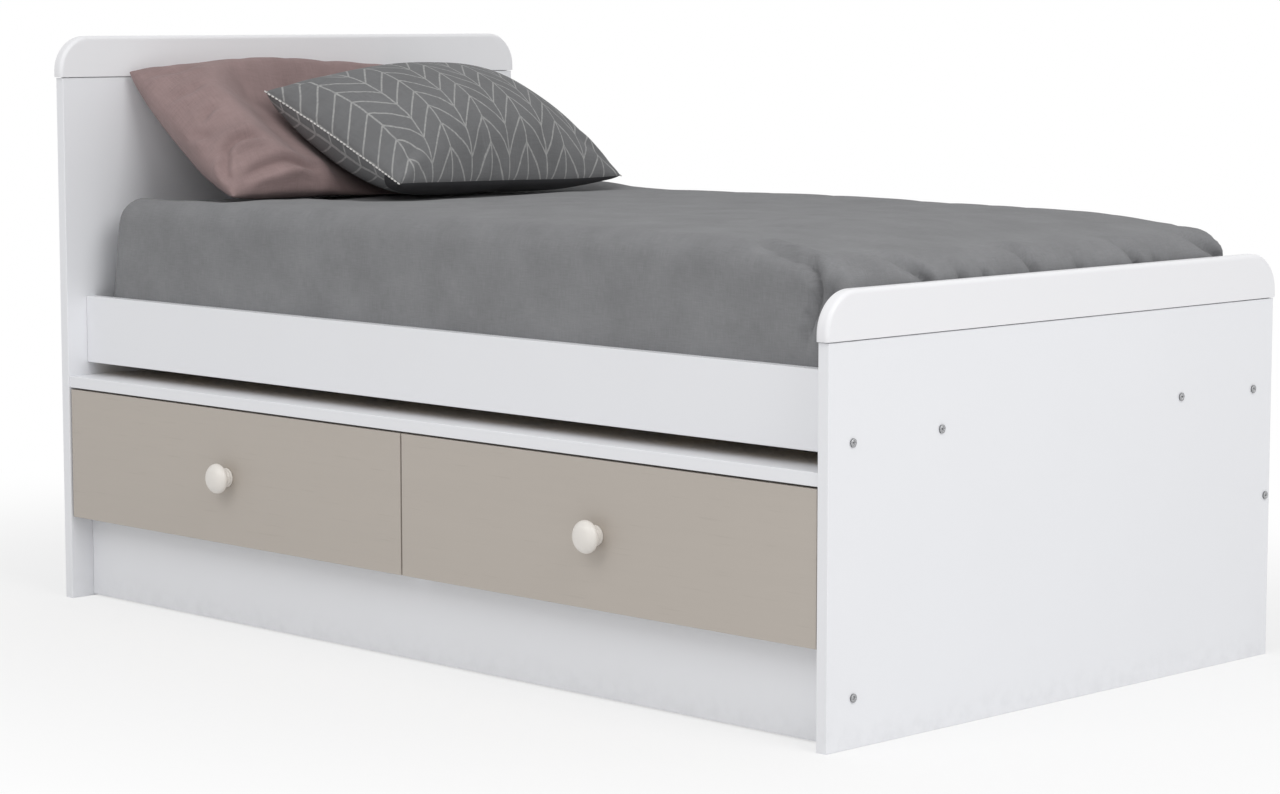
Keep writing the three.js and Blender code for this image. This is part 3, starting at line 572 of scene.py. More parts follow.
class BedPillows(bpy.types.PropertyGroup):
    """The two pillows."""

    rose_width: length("Rose width", "Between the side corners of the rose pillow", 474 * MM)
    rose_height: length("Rose height", "From its upper to its lower corners", 289 * MM)
    rose_upper: length("Rose upper swell", "Rise of its upper face over the seam", 80 * MM)
    rose_lower: length("Rose lower swell", "Fall of its lower face under the seam", 72 * MM)
    rose_shift: shift("Rose shift", "From its CAD solid's place", (0, -8 * MM, 3 * MM))
    rose_pull: share("Rose pull", "How far its edges draw in between the corners", 0.02)
    rose_slope: share("Rose slope", "How gently its upper face rises from the seam", 0.8)
    rose_droop: length("Rose droop", "Sag of its lower seam between the corners", 2 * MM)
    rose_tilt: angle("Rose tilt", "Slope of the rose pillow against the headboard", 35)
    rose_turn: angle("Rose turn", "Turn of the rose pillow about the vertical", -1.5)
    rose_roll: angle("Rose roll", "Fall of the rose pillow towards the back", 0)
    grey_width: length("Grey width", "Between the side corners of the grey pillow", 465 * MM)
    grey_height: length("Grey height", "From its upper to its lower corners", 284 * MM)
    grey_upper: length("Grey upper swell", "Rise of its upper face over the seam", 88 * MM)
    grey_lower: length("Grey lower swell", "Fall of its lower face under the seam", 70 * MM)
    grey_pull: share("Grey pull", "How far its edges draw in between the corners", 0.025)
    grey_slope: share("Grey slope", "How gently its upper face rises from the seam", 0.78)
    grey_droop: length("Grey droop", "Sag of its lower seam between the corners", 7.5 * MM)
    grey_tilt: angle("Grey tilt", "Slope of the grey pillow on the rose one", 25.2)
    grey_turn: angle("Grey turn", "Turn of the grey pillow about the vertical", 5)
    grey_roll: angle("Grey roll", "Fall of the grey pillow towards the back", -0.8)
    grey_shift: shift("Grey shift", "From its CAD solid's place", (6 * MM, 10.5 * MM, -0.5 * MM))
    cell: length("Cell", "Side of one face of a case before it is filled", 10.5 * MM)
    pressure: setting(FloatProperty, "Pressure", "Filling pressure in a case", 4.0, min=0)
    start: share("Start", "Share of the full swell from which a case is filled", 0.9)
    slack: share("Slack", "How much larger the cloth is than its seam", 0.05)
    cap: length("Cap", "How far the filling moves a point of the case", 7 * MM)
    # Painted shade: width of the dark strip that stands for the shadow under the grey pillow's lower edge
    placket: length("Placket", "Width of the strip over the grey pillow's zip", 36 * MM)
    columns: setting(IntProperty, "Columns", "Columns of the pattern across the pillow", 12, min=1)
    rung: length("Rung", "Distance between the pattern's rungs", 32 * MM)
    drop: length("Drop", "Fall of a rung over one column", 44 * MM)
    line: length("Line", "Width of the pattern's lines", 2.3 * MM)
    stitch: length("Stitch", "Length of one seam stitch", 5.6 * MM)
    stitch_pitch: length("Stitch pitch", "From one seam stitch to the next", 6.6 * MM)
    stitch_radius: length("Stitch radius", "Radius of the seam's thread", 1.2 * MM)


class BedStage(bpy.types.PropertyGroup):
    """Camera, light and floor."""

    eye: shift("Eye", "Place of the camera", (3.01538, -2.99036, 0.77831))
    pitch: angle("Pitch", "Slope of the view below the horizon", 6.52)
    heading: angle("Heading", "Turn of the view about the vertical", 45.11)
    lens: setting(FloatProperty, "Lens", "Focal length on a 36 mm wide sensor", 94.91, unit="CAMERA")
    floor: colour("Floor", "Colour of the floor", (0.86, 0.86, 0.86))
    key: power("Key light", "Power of the large front light", 34.0)
    side: power("Side light", "Power of the light at the foot end", 53.5)
    ambient: share("Ambient", "Strength of the even light from all round", 0.57, high=2.0)


# Mesh helpers

def link(name, data):
    """A new object for a mesh, a lamp or a camera, in the scene."""
    made = bpy.data.objects.new(name, data)
    bpy.context.scene.collection.objects.link(made)
    return made


def piece(name, vertices, faces, material, uv=None):
    """A mesh object from points and faces, with flat cloth coordinates where uv gives them per corner."""
    mesh = bpy.data.meshes.new(name)
    mesh.from_pydata([tuple(v) for v in vertices], [], faces)
    mesh.materials.append(material)
    if uv is not None:
        corner_uv = np.array(uv, dtype=np.float32).reshape(-1)
        mesh.uv_layers.new(name="flat_cloth").data.foreach_set("uv", corner_uv)
    mesh.shade_smooth()
    return link(name, mesh)


def quads(rows, count):
    """Faces of a sheet of points that lie in rows with count points in each."""
    return [
        (a, a + 1, a + count + 1, a + count)
        for k in range(rows - 1) for a in range(k * count, (k + 1) * count - 1)
    ]


def border(columns, rows):
    """Places (i, j) in a grid of columns by rows faces, once round its edge from (0, 0)."""
    places = [(i, 0) for i in range(columns)] + [(columns, j) for j in range(rows)]
    places += [(i, rows) for i in range(columns, 0, -1)] + [(0, j) for j in range(rows, 0, -1)]
    return places


def settle(made):
    """Applies every modifier of a piece, so that only its mesh is left."""
    bpy.context.view_layer.update()
    evaluated = made.evaluated_get(bpy.context.evaluated_depsgraph_get())
    mesh = bpy.data.meshes.new_from_object(evaluated)
    made.modifiers.clear()
    old = made.data
    made.data = mesh
    mesh.name = made.name
    bpy.data.meshes.remove(old)


def face_outwards(made, merge=0.0):
    """Joins the points of a closed shell that lie within merge, and turns its faces outwards."""
    form = bmesh.new()
    form.from_mesh(made.data)
    if merge:
        bmesh.ops.remove_doubles(form, verts=form.verts, dist=merge)
    bmesh.ops.recalc_face_normals(form, faces=form.faces)
    form.to_mesh(made.data)
    form.free()


def vectors_of(made, key):
    """One row for each vertex of a piece: its place with "co", its direction with "normal"."""
    rows = np.zeros(len(made.data.vertices) * 3)
    made.data.vertices.foreach_get(key, rows)
    return rows.reshape(-1, 3)


def points_of(made):
    return vectors_of(made, "co")


def set_points(made, points):
    made.data.vertices.foreach_set("co", np.asarray(points, dtype=np.float32).reshape(-1))
    made.data.update()


def surface_of(made):
    """A search tree over a piece's faces."""
    mesh = made.data
    return BVHTree.FromPolygons([v.co for v in mesh.vertices], [tuple(p.vertices) for p in mesh.polygons])


def smooth_step(value):
    """From 0 at 0 to 1 at 1, level at both ends and beyond."""
    t = np.clip(value, 0.0, 1.0)
    return t * t * (3 - 2 * t)


def uneven(points, scale, seed):
    """Smooth noise, from about -1 to 1, at each point. Scale is its reach on each axis, in metres."""
    shift = Vector((seed * 7.3, seed * 3.1, seed * 5.7))
    return np.array([noise.noise(Vector(p) + shift) for p in points / np.array(scale)])


# Boards and runners that keep their CAD form

def wear(nodes, material):
    """Gives a finish to CAD nodes."""
    for name in nodes:
        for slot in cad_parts[name].material_slots:
            slot.material = material


class BED_OT_boards(bpy.types.Operator):
    """Finish the boards, slats and drawer parts."""

    bl_idname = "bed.boards"
    bl_label = "Finish Boards"

    def execute(self, context):
        colours = context.scene.bed_colours
        wear(WHITE_NODES, white_board(colours))
        wear([f"{drawer}_front" for drawer in DRAWERS], taupe_board(colours))
        wear([f"{drawer}_bottom" for drawer in DRAWERS], hardboard(colours))
        slats = [name for name in BOXES if name.startswith("slat_")]
        wear(slats + ["head_cleat", "foot_cleat"], pine(colours, "pine_across", 1))
        wear(["front_ledge", "back_ledge"], pine(colours, "pine_along", 0))
        return {"FINISHED"}


class BED_OT_runners(bpy.types.Operator):
    """Finish the drawer runners and their rollers."""

    bl_idname = "bed.runners"
    bl_label = "Finish Runners"

    def execute(self, context):
        colours = context.scene.bed_colours
        wear([name for name in BOXES if name.endswith(("_channel", "_track"))], coated_steel(colours))
        wear([name for name in BOXES if name.endswith("_roller")], nylon(colours))
        return {"FINISHED"}


# Caps on the end panels

def cap_ring(half, top, corner, inset, steps):
    """A cap's front outline from its lower left to its lower right, drawn in by inset."""
    radius = corner - inset
    ring = [(-half + inset, 0.0)]
    for side in (-1, 1):
        for i in range(steps + 1):
            turn = math.pi / 2 * i / steps
            reach = math.cos(turn) if side < 0 else math.sin(turn)
            rise = math.sin(turn) if side < 0 else math.cos(turn)
            ring.append((side * (half - corner + radius * reach), top - corner + radius * rise))
    ring.append((half - inset, 0.0))
    return ring


def cap_shell(sizes, thick, half, top, place):
    """Points and faces of a cap whose upper edge is fully rounded and whose underside is flat.
    Place is the middle of its underside."""
    edge, edge_steps, corner_steps = sizes.cap_edge, 7, 20
    rings = []
    for side in (-1, 1):
        for i in range(edge_steps + 1):
            turn = math.pi / 2 * (i if side < 0 else edge_steps - i) / edge_steps
            ring = cap_ring(half, top, sizes.cap_corner, edge * (1 - math.sin(turn)), corner_steps)
            x = side * (thick / 2 - edge * (1 - math.cos(turn)))
            rings.append([(place.x + x, place.y + y, place.z + z) for y, z in ring])
    count = len(rings[0])
    starts = range(0, len(rings) * count, count)
    faces = quads(len(rings), count)
    faces.append(tuple(reversed(range(count))))
    faces.append(tuple(range(starts[-1], starts[-1] + count)))
    faces.append((*starts, *(start + count - 1 for start in reversed(starts))))
    return [point for ring in rings for point in ring], faces


def make_cap(name, node, sizes, material):
    """A cap over the shadow groove, with the tongue that joins it to its panel."""
    low, high = BOXES[node]
    groove, sunk = sizes.cap_groove, 0.02 * MM
    middle = (low + high) / 2
    half = (high.y - low.y) / 2
    place = Vector((middle.x, middle.y, low.z + groove))
    cap = piece(name, *cap_shell(sizes, high.x - low.x, half, high.z - place.z, place), material)
    form = bmesh.new()
    form.from_mesh(cap.data)
    size = (sizes.cap_tongue, 2 * (half - 2 * sizes.cap_edge), groove)
    for vertex in bmesh.ops.create_cube(form, size=1.0)["verts"]:
        vertex.co = Vector(a * b for a, b in zip(vertex.co, size)) + place
        vertex.co.z -= groove / 2 + sunk
    bmesh.ops.recalc_face_normals(form, faces=form.faces)
    smallest_flat = 0.02
    for face in form.faces:
        face.smooth = len(face.verts) == 4 and face.calc_area() < smallest_flat
    form.to_mesh(cap.data)
    form.free()
    soften = cap.modifiers.new("Arris", "BEVEL")
    soften.width = sizes.arris
    soften.segments = 2
    soften.limit_method = "ANGLE"
    soften.angle_limit = math.radians(50)
    settle(cap)
    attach(cap, "frame")
    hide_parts(node)


class BED_OT_caps(bpy.types.Operator):
    """Make the moulded caps of the head and foot panels."""

    bl_idname = "bed.caps"
    bl_label = "Make Caps"

    def execute(self, context):
        sizes = context.scene.bed_boards
        material = bpy.data.materials["white_board"]
        make_cap("head_cap", "headboard_cap", sizes, material)
        make_cap("foot_cap", "footboard_cap", sizes, material)
        return {"FINISHED"}


# Knobs

def bend_points(start, pull, end, steps):
    """Points along a quadratic curve, its start left out."""
    line = []
    for i in range(1, steps + 1):
        t = i / steps
        shares = (1 - t) ** 2, 2 * t * (1 - t), t * t
        line.append(tuple(np.dot(shares, (start, pull, end))))
    return line


def knob_profile(sizes, head, reach):
    """Half a knob's section as (radius, distance from the drawer front). It has a stepped foot, a
    waist, and a domed head that is widest at the rim."""
    base, neck = sizes.knob_base, sizes.knob_neck
    foot, waist, rim = 3 * MM, 9 * MM, 16 * MM
    line = [(0.0, 0.0), (base - 0.5 * MM, 0.0), (base, 0.5 * MM), (base, foot - 0.6 * MM)]
    for pull, end, steps in (
        ((base, foot), (base - 1.2 * MM, foot + 0.1 * MM), 3),
        ((neck, foot + 0.4 * MM), (neck, waist - 1 * MM), 6),
        ((neck, waist + 1 * MM), (head - 4 * MM, waist + 3.2 * MM), 6),
        ((head, waist + 4.2 * MM), (head, rim), 5),
        ((head, rim + 5 * MM), (head * 0.62, reach - 2 * MM), 8),
        ((head * 0.34, reach), (0.0, reach), 6),
    ):
        line += bend_points(line[-1], pull, end, steps)
    return line


def make_knob(name, node, body, sizes, material):
    """A turned mushroom knob."""
    low, high = BOXES[node]
    middle = (low + high) / 2
    profile = knob_profile(sizes, (high.x - low.x) / 2, high.y - low.y)
    around = 56
    turns = [2 * math.pi * i / around for i in range(around)]
    vertices = [(middle.x, high.y, middle.z)]
    for radius, out in profile[1:-1]:
        vertices += [
            (middle.x + radius * math.cos(turn), high.y - out, middle.z + radius * math.sin(turn))
            for turn in turns
        ]
    vertices.append((middle.x, low.y, middle.z))
    rows = len(profile) - 2
    end = 1 + (rows - 1) * around
    faces = []
    for i in range(around):
        j = (i + 1) % around
        faces.append((0, 1 + i, 1 + j))
        for a in range(1, end, around):
            faces.append((a + i, a + around + i, a + around + j, a + j))
        faces.append((end + j, end + i, len(vertices) - 1))
    knob = piece(name, vertices, faces, material)
    face_outwards(knob)
    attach(knob, body)
    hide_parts(node)


class BED_OT_knobs(bpy.types.Operator):
    """Make the two drawer knobs."""

    bl_idname = "bed.knobs"
    bl_label = "Make Knobs"

    def execute(self, context):
        sizes = context.scene.bed_boards
        material = knob_plastic(context.scene.bed_colours)
        for drawer in DRAWERS:
            make_knob(f"{drawer}_turned_knob", f"{drawer}_knob", drawer, sizes, material)
        return {"FINISHED"}


# Geometry Nodes: a screw on each given point, and stitches or piping along a path

def rule(name, inputs):
    """A new geometry tree with a geometry input, named inputs for its sizes and a geometry output."""
    group = bpy.data.node_groups.new(name, "GeometryNodeTree")
    face = group.interface
    for label, kind in {"Geometry": "Geometry", **inputs, "Material": "Material"}.items():
        face.new_socket(label, in_out="INPUT", socket_type=f"NodeSocket{kind}")
    face.new_socket("Geometry", in_out="OUTPUT", socket_type="NodeSocketGeometry")
    tree = Tree(group)
    sockets = tree.node("NodeGroupInput").socket.node.outputs
    return group, tree, {socket.name: Value(tree, socket) for socket in sockets if socket.name}


def close_rule(tree, geometry, material):
    """Ends a tree: instances made real, and the material set."""
    real = tree.node("GeometryNodeRealizeInstances", None, [geometry])
    dressed = tree.node("GeometryNodeSetMaterial", None, {"Geometry": real, "Material": material})
    tree.node("NodeGroupOutput", None, [dressed])


def grow(made, group, values):
    """Runs a tree on a piece with values for its named inputs and keeps the result as a plain mesh."""
    modifier = made.modifiers.new(group.name, "NODES")
    modifier.node_group = group
    for item in group.interface.items_tree:
        if item.item_type == "SOCKET" and item.in_out == "INPUT" and item.name in values:
            modifier[item.identifier] = values[item.name]
    settle(made)
    bpy.data.node_groups.remove(group)
    made.data.shade_smooth()
    return made


def screw_head(tree, radius, height):
    """A domed head that stands on the origin's level, with a cross recess."""
    settings = {"fill_type": "NGON"}
    inputs = {"Vertices": 28, "Side Segments": 2, "Fill Segments": 7, "Radius": radius, "Depth": height}
    blank = tree.node("GeometryNodeMeshCylinder", settings, inputs)
    x, y, z = tree.split(tree.node("GeometryNodeInputPosition"))
    out = (x * x + y * y).math("SQRT") / radius
    swell, rim = out * out * 0.32, out.step(0.8, 1.0) * 0.3
    dome = (swell + rim) * height * (z > 0.0)
    drawn = tree.upright(height * 0.5 - dome)
    head = tree.node("GeometryNodeSetPosition", None, {"Geometry": blank, "Offset": drawn})
    slot_length, slot_width = radius * 1.15, radius * 0.26
    size = tree.node("ShaderNodeCombineXYZ", None, [slot_length, slot_width, height])
    bar = tree.node("GeometryNodeMeshCube", None, {"Size": size})
    sunk = tree.upright(height * 0.98)
    cuts = tree.joined(*(tree.moved(bar, sunk, (0, 0, turn)) for turn in (0.0, math.pi / 2)))
    settings = {"operation": "DIFFERENCE", "solver": "MANIFOLD"}
    return tree.node("GeometryNodeMeshBoolean", settings, {"Mesh 1": head, "Mesh 2": cuts})


def screw_shank(tree, core, shank, pitch, inside):
    """A threaded shank that hangs from the head, and starts that far inside it."""
    rod = tree.node("GeometryNodeMeshCylinder", None, {"Vertices": 14, "Radius": core, "Depth": shank})
    rod = tree.moved(rod, tree.upright(shank * -0.5 + inside))
    threaded = shank * 0.94
    helix = tree.node("GeometryNodeCurveSpiral", None, {
        "Resolution": 14,
        "Rotations": threaded / pitch,
        "Start Radius": core,
        "End Radius": core,
        "Height": threaded,
    })
    ridge = tree.node("GeometryNodeCurvePrimitiveCircle", None, {"Resolution": 3, "Radius": core * 0.3})
    swept = {"Curve": helix, "Profile Curve": ridge, "Fill Caps": True}
    coil = tree.node("GeometryNodeCurveToMesh", None, swept)
    return rod, tree.moved(coil, tree.upright(shank * -0.98))


def screw_rule():
    """A pan-head screw on each point, turned at random. The underside of its head lies on the point,
    and its head points along the point's attribute way."""
    measures = ("Head Radius", "Head Height", "Core Radius", "Shank Length", "Pitch")
    group, tree, given = rule("screws", {**dict.fromkeys(measures, "Float"), "Seed": "Int"})
    height = given["Head Height"]
    head = screw_head(tree, given["Head Radius"], height)
    sizes = given["Core Radius"], given["Shank Length"], given["Pitch"], height * 0.2
    whole = tree.joined(head, *screw_shank(tree, *sizes))
    way = tree.node("GeometryNodeInputNamedAttribute", {"data_type": "FLOAT_VECTOR"}, {"Name": "way"})
    turn = {2: 0.0, 3: math.pi / 2, "Seed": given["Seed"]}
    spin = tree.node("FunctionNodeRandomValue", {"data_type": "FLOAT"}, turn, 1)
    both = {"Rotation": tree.along(way), "Rotate By": tree.upright(spin)}
    turned = tree.node("FunctionNodeRotateEuler", {"space": "LOCAL"}, both)
    close_rule(tree, tree.repeated(given["Geometry"], whole, turned), given["Material"])
    return group


def on_points(name, places, group, values):
    """Grows a tree on a cloud of (point, direction) places."""
    mesh = bpy.data.meshes.new(name)
    mesh.from_pydata([tuple(point) for point, _ in places], [], [])
    ways = mesh.attributes.new("way", "FLOAT_VECTOR", "POINT")
    ways.data.foreach_set("vector", [value for _, way in places for value in way])
    return grow(link(name, mesh), group, values)


def end_screw_places(lift):
    """Where the screws of both end panels sit, as on the footboard: the undersides of their heads,
    lift above the boards, and the way in which they face."""
    places = []
    for side, panel in ((1, "footboard_panel"), (-1, "headboard_panel")):
        low, high = BOXES[panel]
        face = high.x + lift if side > 0 else low.x - lift
        for name in SCREW_NODES:
            middle = centre(name)
            places.append((Vector((face, middle.y, middle.z)), Vector((side, 0, 0))))
    return places


def runner_screw_places(drawer, part, sizes):
    """Where a drawer's channels or tracks are screwed on, in a row at the height of their rollers."""
    places = []
    for label, side in (("left", -1), ("right", 1)):
        low, high = BOXES[f"{drawer}_{label}_{part}"]
        height = centre(f"{drawer}_{label}_channel_roller").z
        if part == "channel":
            wall = low.x + sizes.sheet if side < 0 else high.x - sizes.sheet
            way = Vector((-side, 0, 0))
        else:
            wall = high.x - sizes.runner_lip if side < 0 else low.x + sizes.runner_lip
            way = Vector((side, 0, 0))
        for y in (low.y + sizes.runner_inset, (low.y + high.y) / 2, high.y - sizes.runner_inset):
            places.append((Vector((wall, y, height)), way))
    return places


class BED_OT_screws(bpy.types.Operator):
    """Make the screws of the end panels and of the runners."""

    bl_idname = "bed.screws"
    bl_label = "Make Screws"

    def execute(self, context):
        sizes = context.scene.bed_boards
        material = screw_steel(context.scene.bed_colours)
        large = {
            "Head Radius": sizes.screw_head,
            "Head Height": sizes.screw_proud,
            "Core Radius": sizes.screw_core,
            "Shank Length": sizes.screw_length,
            "Pitch": sizes.thread_pitch,
            "Seed": 3,
            "Material": material,
        }
        small = {
            "Head Radius": sizes.runner_head,
            "Head Height": sizes.runner_proud,
            "Core Radius": sizes.runner_core,
            "Shank Length": sizes.runner_length,
            "Pitch": sizes.runner_pitch,
            "Seed": 5,
            "Material": material,
        }
        lift = BOXES[SCREW_NODES[0]][1].x - BOXES["footboard_panel"][1].x - sizes.screw_proud
        screws = on_points("end_panel_screws", end_screw_places(lift), screw_rule(), large)
        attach(screws, "frame")
        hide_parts(*SCREW_NODES)
        fixed = [place for drawer in DRAWERS for place in runner_screw_places(drawer, "channel", sizes)]
        rows = [("channel_screws", "frame", fixed)]
        for drawer in DRAWERS:
            rows.append((f"{drawer}_track_screws", drawer, runner_screw_places(drawer, "track", sizes)))
        for name, body, places in rows:
            made = on_points(name, places, screw_rule(), small)
            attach(made, body)
        return {"FINISHED"}


def stitch_rule():
    """Rows of short thread stitches along the edges of the given mesh."""
    group, tree, given = rule("stitches", {"Pitch": "Float", "Stitch": "Float", "Radius": "Float"})
    path = tree.node("GeometryNodeMeshToCurve", None, [given["Geometry"]])
    spacing = {"Curve": path, "Length": given["Pitch"]}
    spaced = tree.node("GeometryNodeResampleCurve", {"mode": "LENGTH"}, spacing)
    radius = given["Radius"]
    ball = tree.node("GeometryNodeMeshUVSphere", None, {"Segments": 8, "Rings": 6, "Radius": radius})
    z = tree.split(tree.node("GeometryNodeInputPosition"))[2]
    drawn = tree.upright((z / radius) * (given["Stitch"] * 0.5 - radius))
    stitch = tree.node("GeometryNodeSetPosition", None, {"Geometry": ball, "Offset": drawn})
    facing = tree.along(tree.node("GeometryNodeInputTangent"))
    close_rule(tree, tree.repeated(spaced, stitch, facing), given["Material"])
    return group


def piping_rule():
    """A round cord along the edges of the given mesh."""
    group, tree, given = rule("piping", {"Radius": "Float"})
    path = tree.node("GeometryNodeMeshToCurve", None, [given["Geometry"]])
    circle = {"Resolution": 10, "Radius": given["Radius"]}
    section = tree.node("GeometryNodeCurvePrimitiveCircle", None, circle)
    swept = {"Curve": path, "Profile Curve": section, "Fill Caps": True}
    close_rule(tree, tree.node("GeometryNodeCurveToMesh", None, swept), given["Material"])
    return group


def along_paths(name, paths, group, values):
    """Grows a tree along lines of points, closed where their last point is their first."""
    vertices, edges = [], []
    for path in paths:
        closed = np.linalg.norm(np.subtract(path[0], path[-1])) < 1e-6
        points = path[:-1] if closed else path
        start = len(vertices)
        vertices += [tuple(p) for p in points]
        edges += [(start + i, start + i + 1) for i in range(len(points) - 1)]
        if closed:
            edges.append((start + len(points) - 1, start))
    mesh = bpy.data.meshes.new(name)
    mesh.from_pydata(vertices, edges, [])
    return grow(link(name, mesh), group, values)


# Bedspread and mattress: a cloth laid over a rounded block

class Cover:
    """A rectangular cloth over a block with rounded plan corners and a rounded upper edge.
    Flat coordinates are metres along the cloth from the middle of the bed."""

    def __init__(self, half_length, half_width, corner, edge, top, middle):
        self.half = (half_length, half_width)
        self.corner = corner
        self.edge = edge
        self.top = top
        self.middle = middle
        self.quarter = math.pi * edge / 2
        self.flat = tuple(side - edge + self.quarter for side in self.half)
        self.flat_corner = corner - edge + self.quarter

    def rise(self, inward):
        """(distance in plan from the side face, height, slope angle) at a distance along the cloth
        from the line where the side face ends. Below that line the distance is negative."""
        if inward <= 0:
            return 0.0, self.top - self.edge + inward, 0.0
        if inward >= self.quarter:
            return self.edge + inward - self.quarter, self.top, math.pi / 2
        turn = inward / self.edge
        return self.edge * (1 - math.cos(turn)), self.top - self.edge * (1 - math.sin(turn)), turn

    def point(self, u, v, below=0.0):
        """(place, outward direction, distance from the side line) of a point of the cloth. Where
        below isn't 0, u and v lie on the side line and the point hangs that far under it."""
        corner_u = abs(u) - (self.flat[0] - self.flat_corner)
        corner_v = abs(v) - (self.flat[1] - self.flat_corner)
        sign_u = math.copysign(1, u)
        sign_v = math.copysign(1, v)
        if corner_u > 0 and corner_v > 0:
            inward = self.flat_corner - max(corner_u, corner_v) - below
            size = math.hypot(corner_u, corner_v)
            way = (sign_u * corner_u / size, sign_v * corner_v / size)
            depth, height, turn = self.rise(inward)
            radius = self.corner - depth
            x = sign_u * (self.half[0] - self.corner) + way[0] * radius
            y = sign_v * (self.half[1] - self.corner) + way[1] * radius
        else:
            from_end = self.flat[0] - abs(u)
            from_side = self.flat[1] - abs(v)
            inward = min(from_end, from_side) - below
            depth, height, turn = self.rise(inward)
            if from_end < from_side:
                way = (sign_u, 0.0)
                x, y = sign_u * (self.half[0] - depth), v
            else:
                way = (0.0, sign_v)
                x, y = u, sign_v * (self.half[1] - depth)
            if inward >= self.quarter:
                x, y = u, v
        out = Vector((way[0] * math.cos(turn), way[1] * math.cos(turn), math.sin(turn)))
        return Vector((self.middle.x + x, self.middle.y + y, height)), out, inward

    def count(self, cell):
        """How many faces of about a cell's side lie along and across the cover's top."""
        return [round(2 * side / cell) for side in self.flat]

    def grid(self, cell, hem):
        """Vertices, faces and corner coordinates of the cloth down to height hem."""
        columns, rows = self.count(cell)
        places, outs, flats, inward = [], [], [], []

        def add(u, v, below=0.0):
            place, out, distance = self.point(u, v, below)
            places.append(place)
            outs.append(out)
            inward.append(distance)
            if abs(abs(u) - self.flat[0]) < 1e-9:
                u += math.copysign(below, u)
            elif abs(abs(v) - self.flat[1]) < 1e-9:
                v += math.copysign(below, v)
            flats.append((u, v))

        for j in range(rows + 1):
            for i in range(columns + 1):
                add(self.flat[0] * (2 * i / columns - 1), self.flat[1] * (2 * j / rows - 1))
        faces = quads(rows + 1, columns + 1)
        ring = [j * (columns + 1) + i for i, j in border(columns, rows)]
        drop = self.top - self.edge - hem
        steps = round(drop / cell)
        above = ring
        for k in range(1, steps + 1):
            start = len(places)
            for index in ring:
                add(*flats[index], drop * k / steps)
            current = list(range(start, start + len(ring)))
            for i in range(len(ring)):
                j = (i + 1) % len(ring)
                faces.append((above[i], current[i], current[j], above[j]))
            above = current
        return np.array(places), np.array(outs), np.array(flats), np.array(inward), faces

    def line(self, inward, cell):
        """Places, outward directions and flat coordinates of a closed line round the cover, at one
        distance inside the side line."""
        columns, rows = self.count(cell)
        length, width = (side - inward for side in self.flat)
        steps = [*border(columns, rows), (0, 0)]
        flats = np.array([((2 * i / columns - 1) * length, (2 * j / rows - 1) * width) for i, j in steps])
        places, outs, _ = zip(*(self.point(u, v) for u, v in flats))
        return np.array(places), np.array(outs), flats


def turned_over(points, level):
    """Points mirrored at a height."""
    return points * (1, 1, -1) + (0, 0, 2 * level)


def settle_ends(points, cover, base, sizes):
    """Leans the head end away from the headboard, more towards the top, and lets the foot end sag,
    but only above 0.3 of its height over the base."""
    up = np.clip((points[:, 2] - base) / (cover.top - base), 0.0, None)
    along = points[:, 0] - cover.middle.x
    half_length = cover.half[0]
    at_head = smooth_step((sizes.lean_reach - half_length - along) / sizes.lean_reach)
    at_foot = np.clip((along - half_length + sizes.sag_reach) / sizes.sag_reach, 0.0, 1.0)
    moved = points.copy()
    moved[:, 0] += sizes.head_lean * up ** 1.6 * at_head
    moved[:, 2] -= sizes.foot_sag * smooth_step((up - 0.3) / 0.7) * at_foot ** 1.5
    return moved


def crease(flats, path, width, depth, onset):
    """A pressed fold along a line of flat points: a valley, steeper on one side, and a soft roll of
    cloth beside it. It reaches its depth in 1 / onset of its length and fades over its last third."""
    nearest = np.full(len(flats), 1e9)
    fade = np.zeros(len(flats))
    marks = np.array(path)
    spans = np.linalg.norm(np.diff(marks, axis=0), axis=1)
    passed = 0.0
    for start, end, span in zip(marks[:-1], marks[1:], spans):
        way = (end - start) / span
        t = np.clip((flats - start) @ way, 0.0, span)
        off = flats - (start + t[:, None] * way)
        side = np.sign(off[:, 0] * way[1] - off[:, 1] * way[0])
        distance = np.linalg.norm(off, axis=1) * np.where(side == 0, 1, side)
        closer = np.abs(distance) < np.abs(nearest)
        nearest = np.where(closer, distance, nearest)
        along = (passed + t) / spans.sum()
        fade = np.where(closer, smooth_step(along * onset) * smooth_step((1 - along) * 3), fade)
        passed += span
    reach = np.where(nearest > 0, width, 0.6 * width)
    valley = -np.exp(-(nearest / reach) ** 2)
    roll = 0.7 * np.exp(-((nearest + 1.6 * width) / (0.9 * width)) ** 2)
    roll += 0.3 * np.exp(-((nearest - 2.4 * width) / (1.2 * width)) ** 2)
    return depth * (valley + roll) * fade


# Folds of the foot end as (distance before the foot's side line, place across) in metres, each
# with its width and depth as shares of the foot fold. They deepen towards the footboard
FOOT_FOLDS = [
    ([(0.050, -0.310), (0.040, -0.265), (0.026, -0.247), (0.012, -0.224), (0.0, -0.212),
      (-0.07, -0.204)], 0.9, 1.0),
    ([(0.034, -0.180), (0.014, -0.158), (-0.01, -0.152), (-0.06, -0.150)], 0.8, 0.8),
    ([(0.030, -0.130), (0.012, -0.117), (-0.01, -0.112), (-0.06, -0.110)], 0.7, 0.9),
    ([(0.070, -0.085), (0.035, -0.048), (0.006, -0.032), (-0.02, -0.028), (-0.07, -0.026)], 0.9, 1.0),
    ([(0.045, 0.035), (0.020, 0.050), (-0.01, 0.056), (-0.06, 0.058)], 0.9, 0.6),
    ([(0.055, 0.120), (0.022, 0.148), (0.0, 0.160), (-0.06, 0.165)], 0.9, 0.9),
    ([(0.040, 0.185), (0.015, 0.195), (-0.01, 0.198), (-0.06, 0.200)], 0.8, 0.6),
]

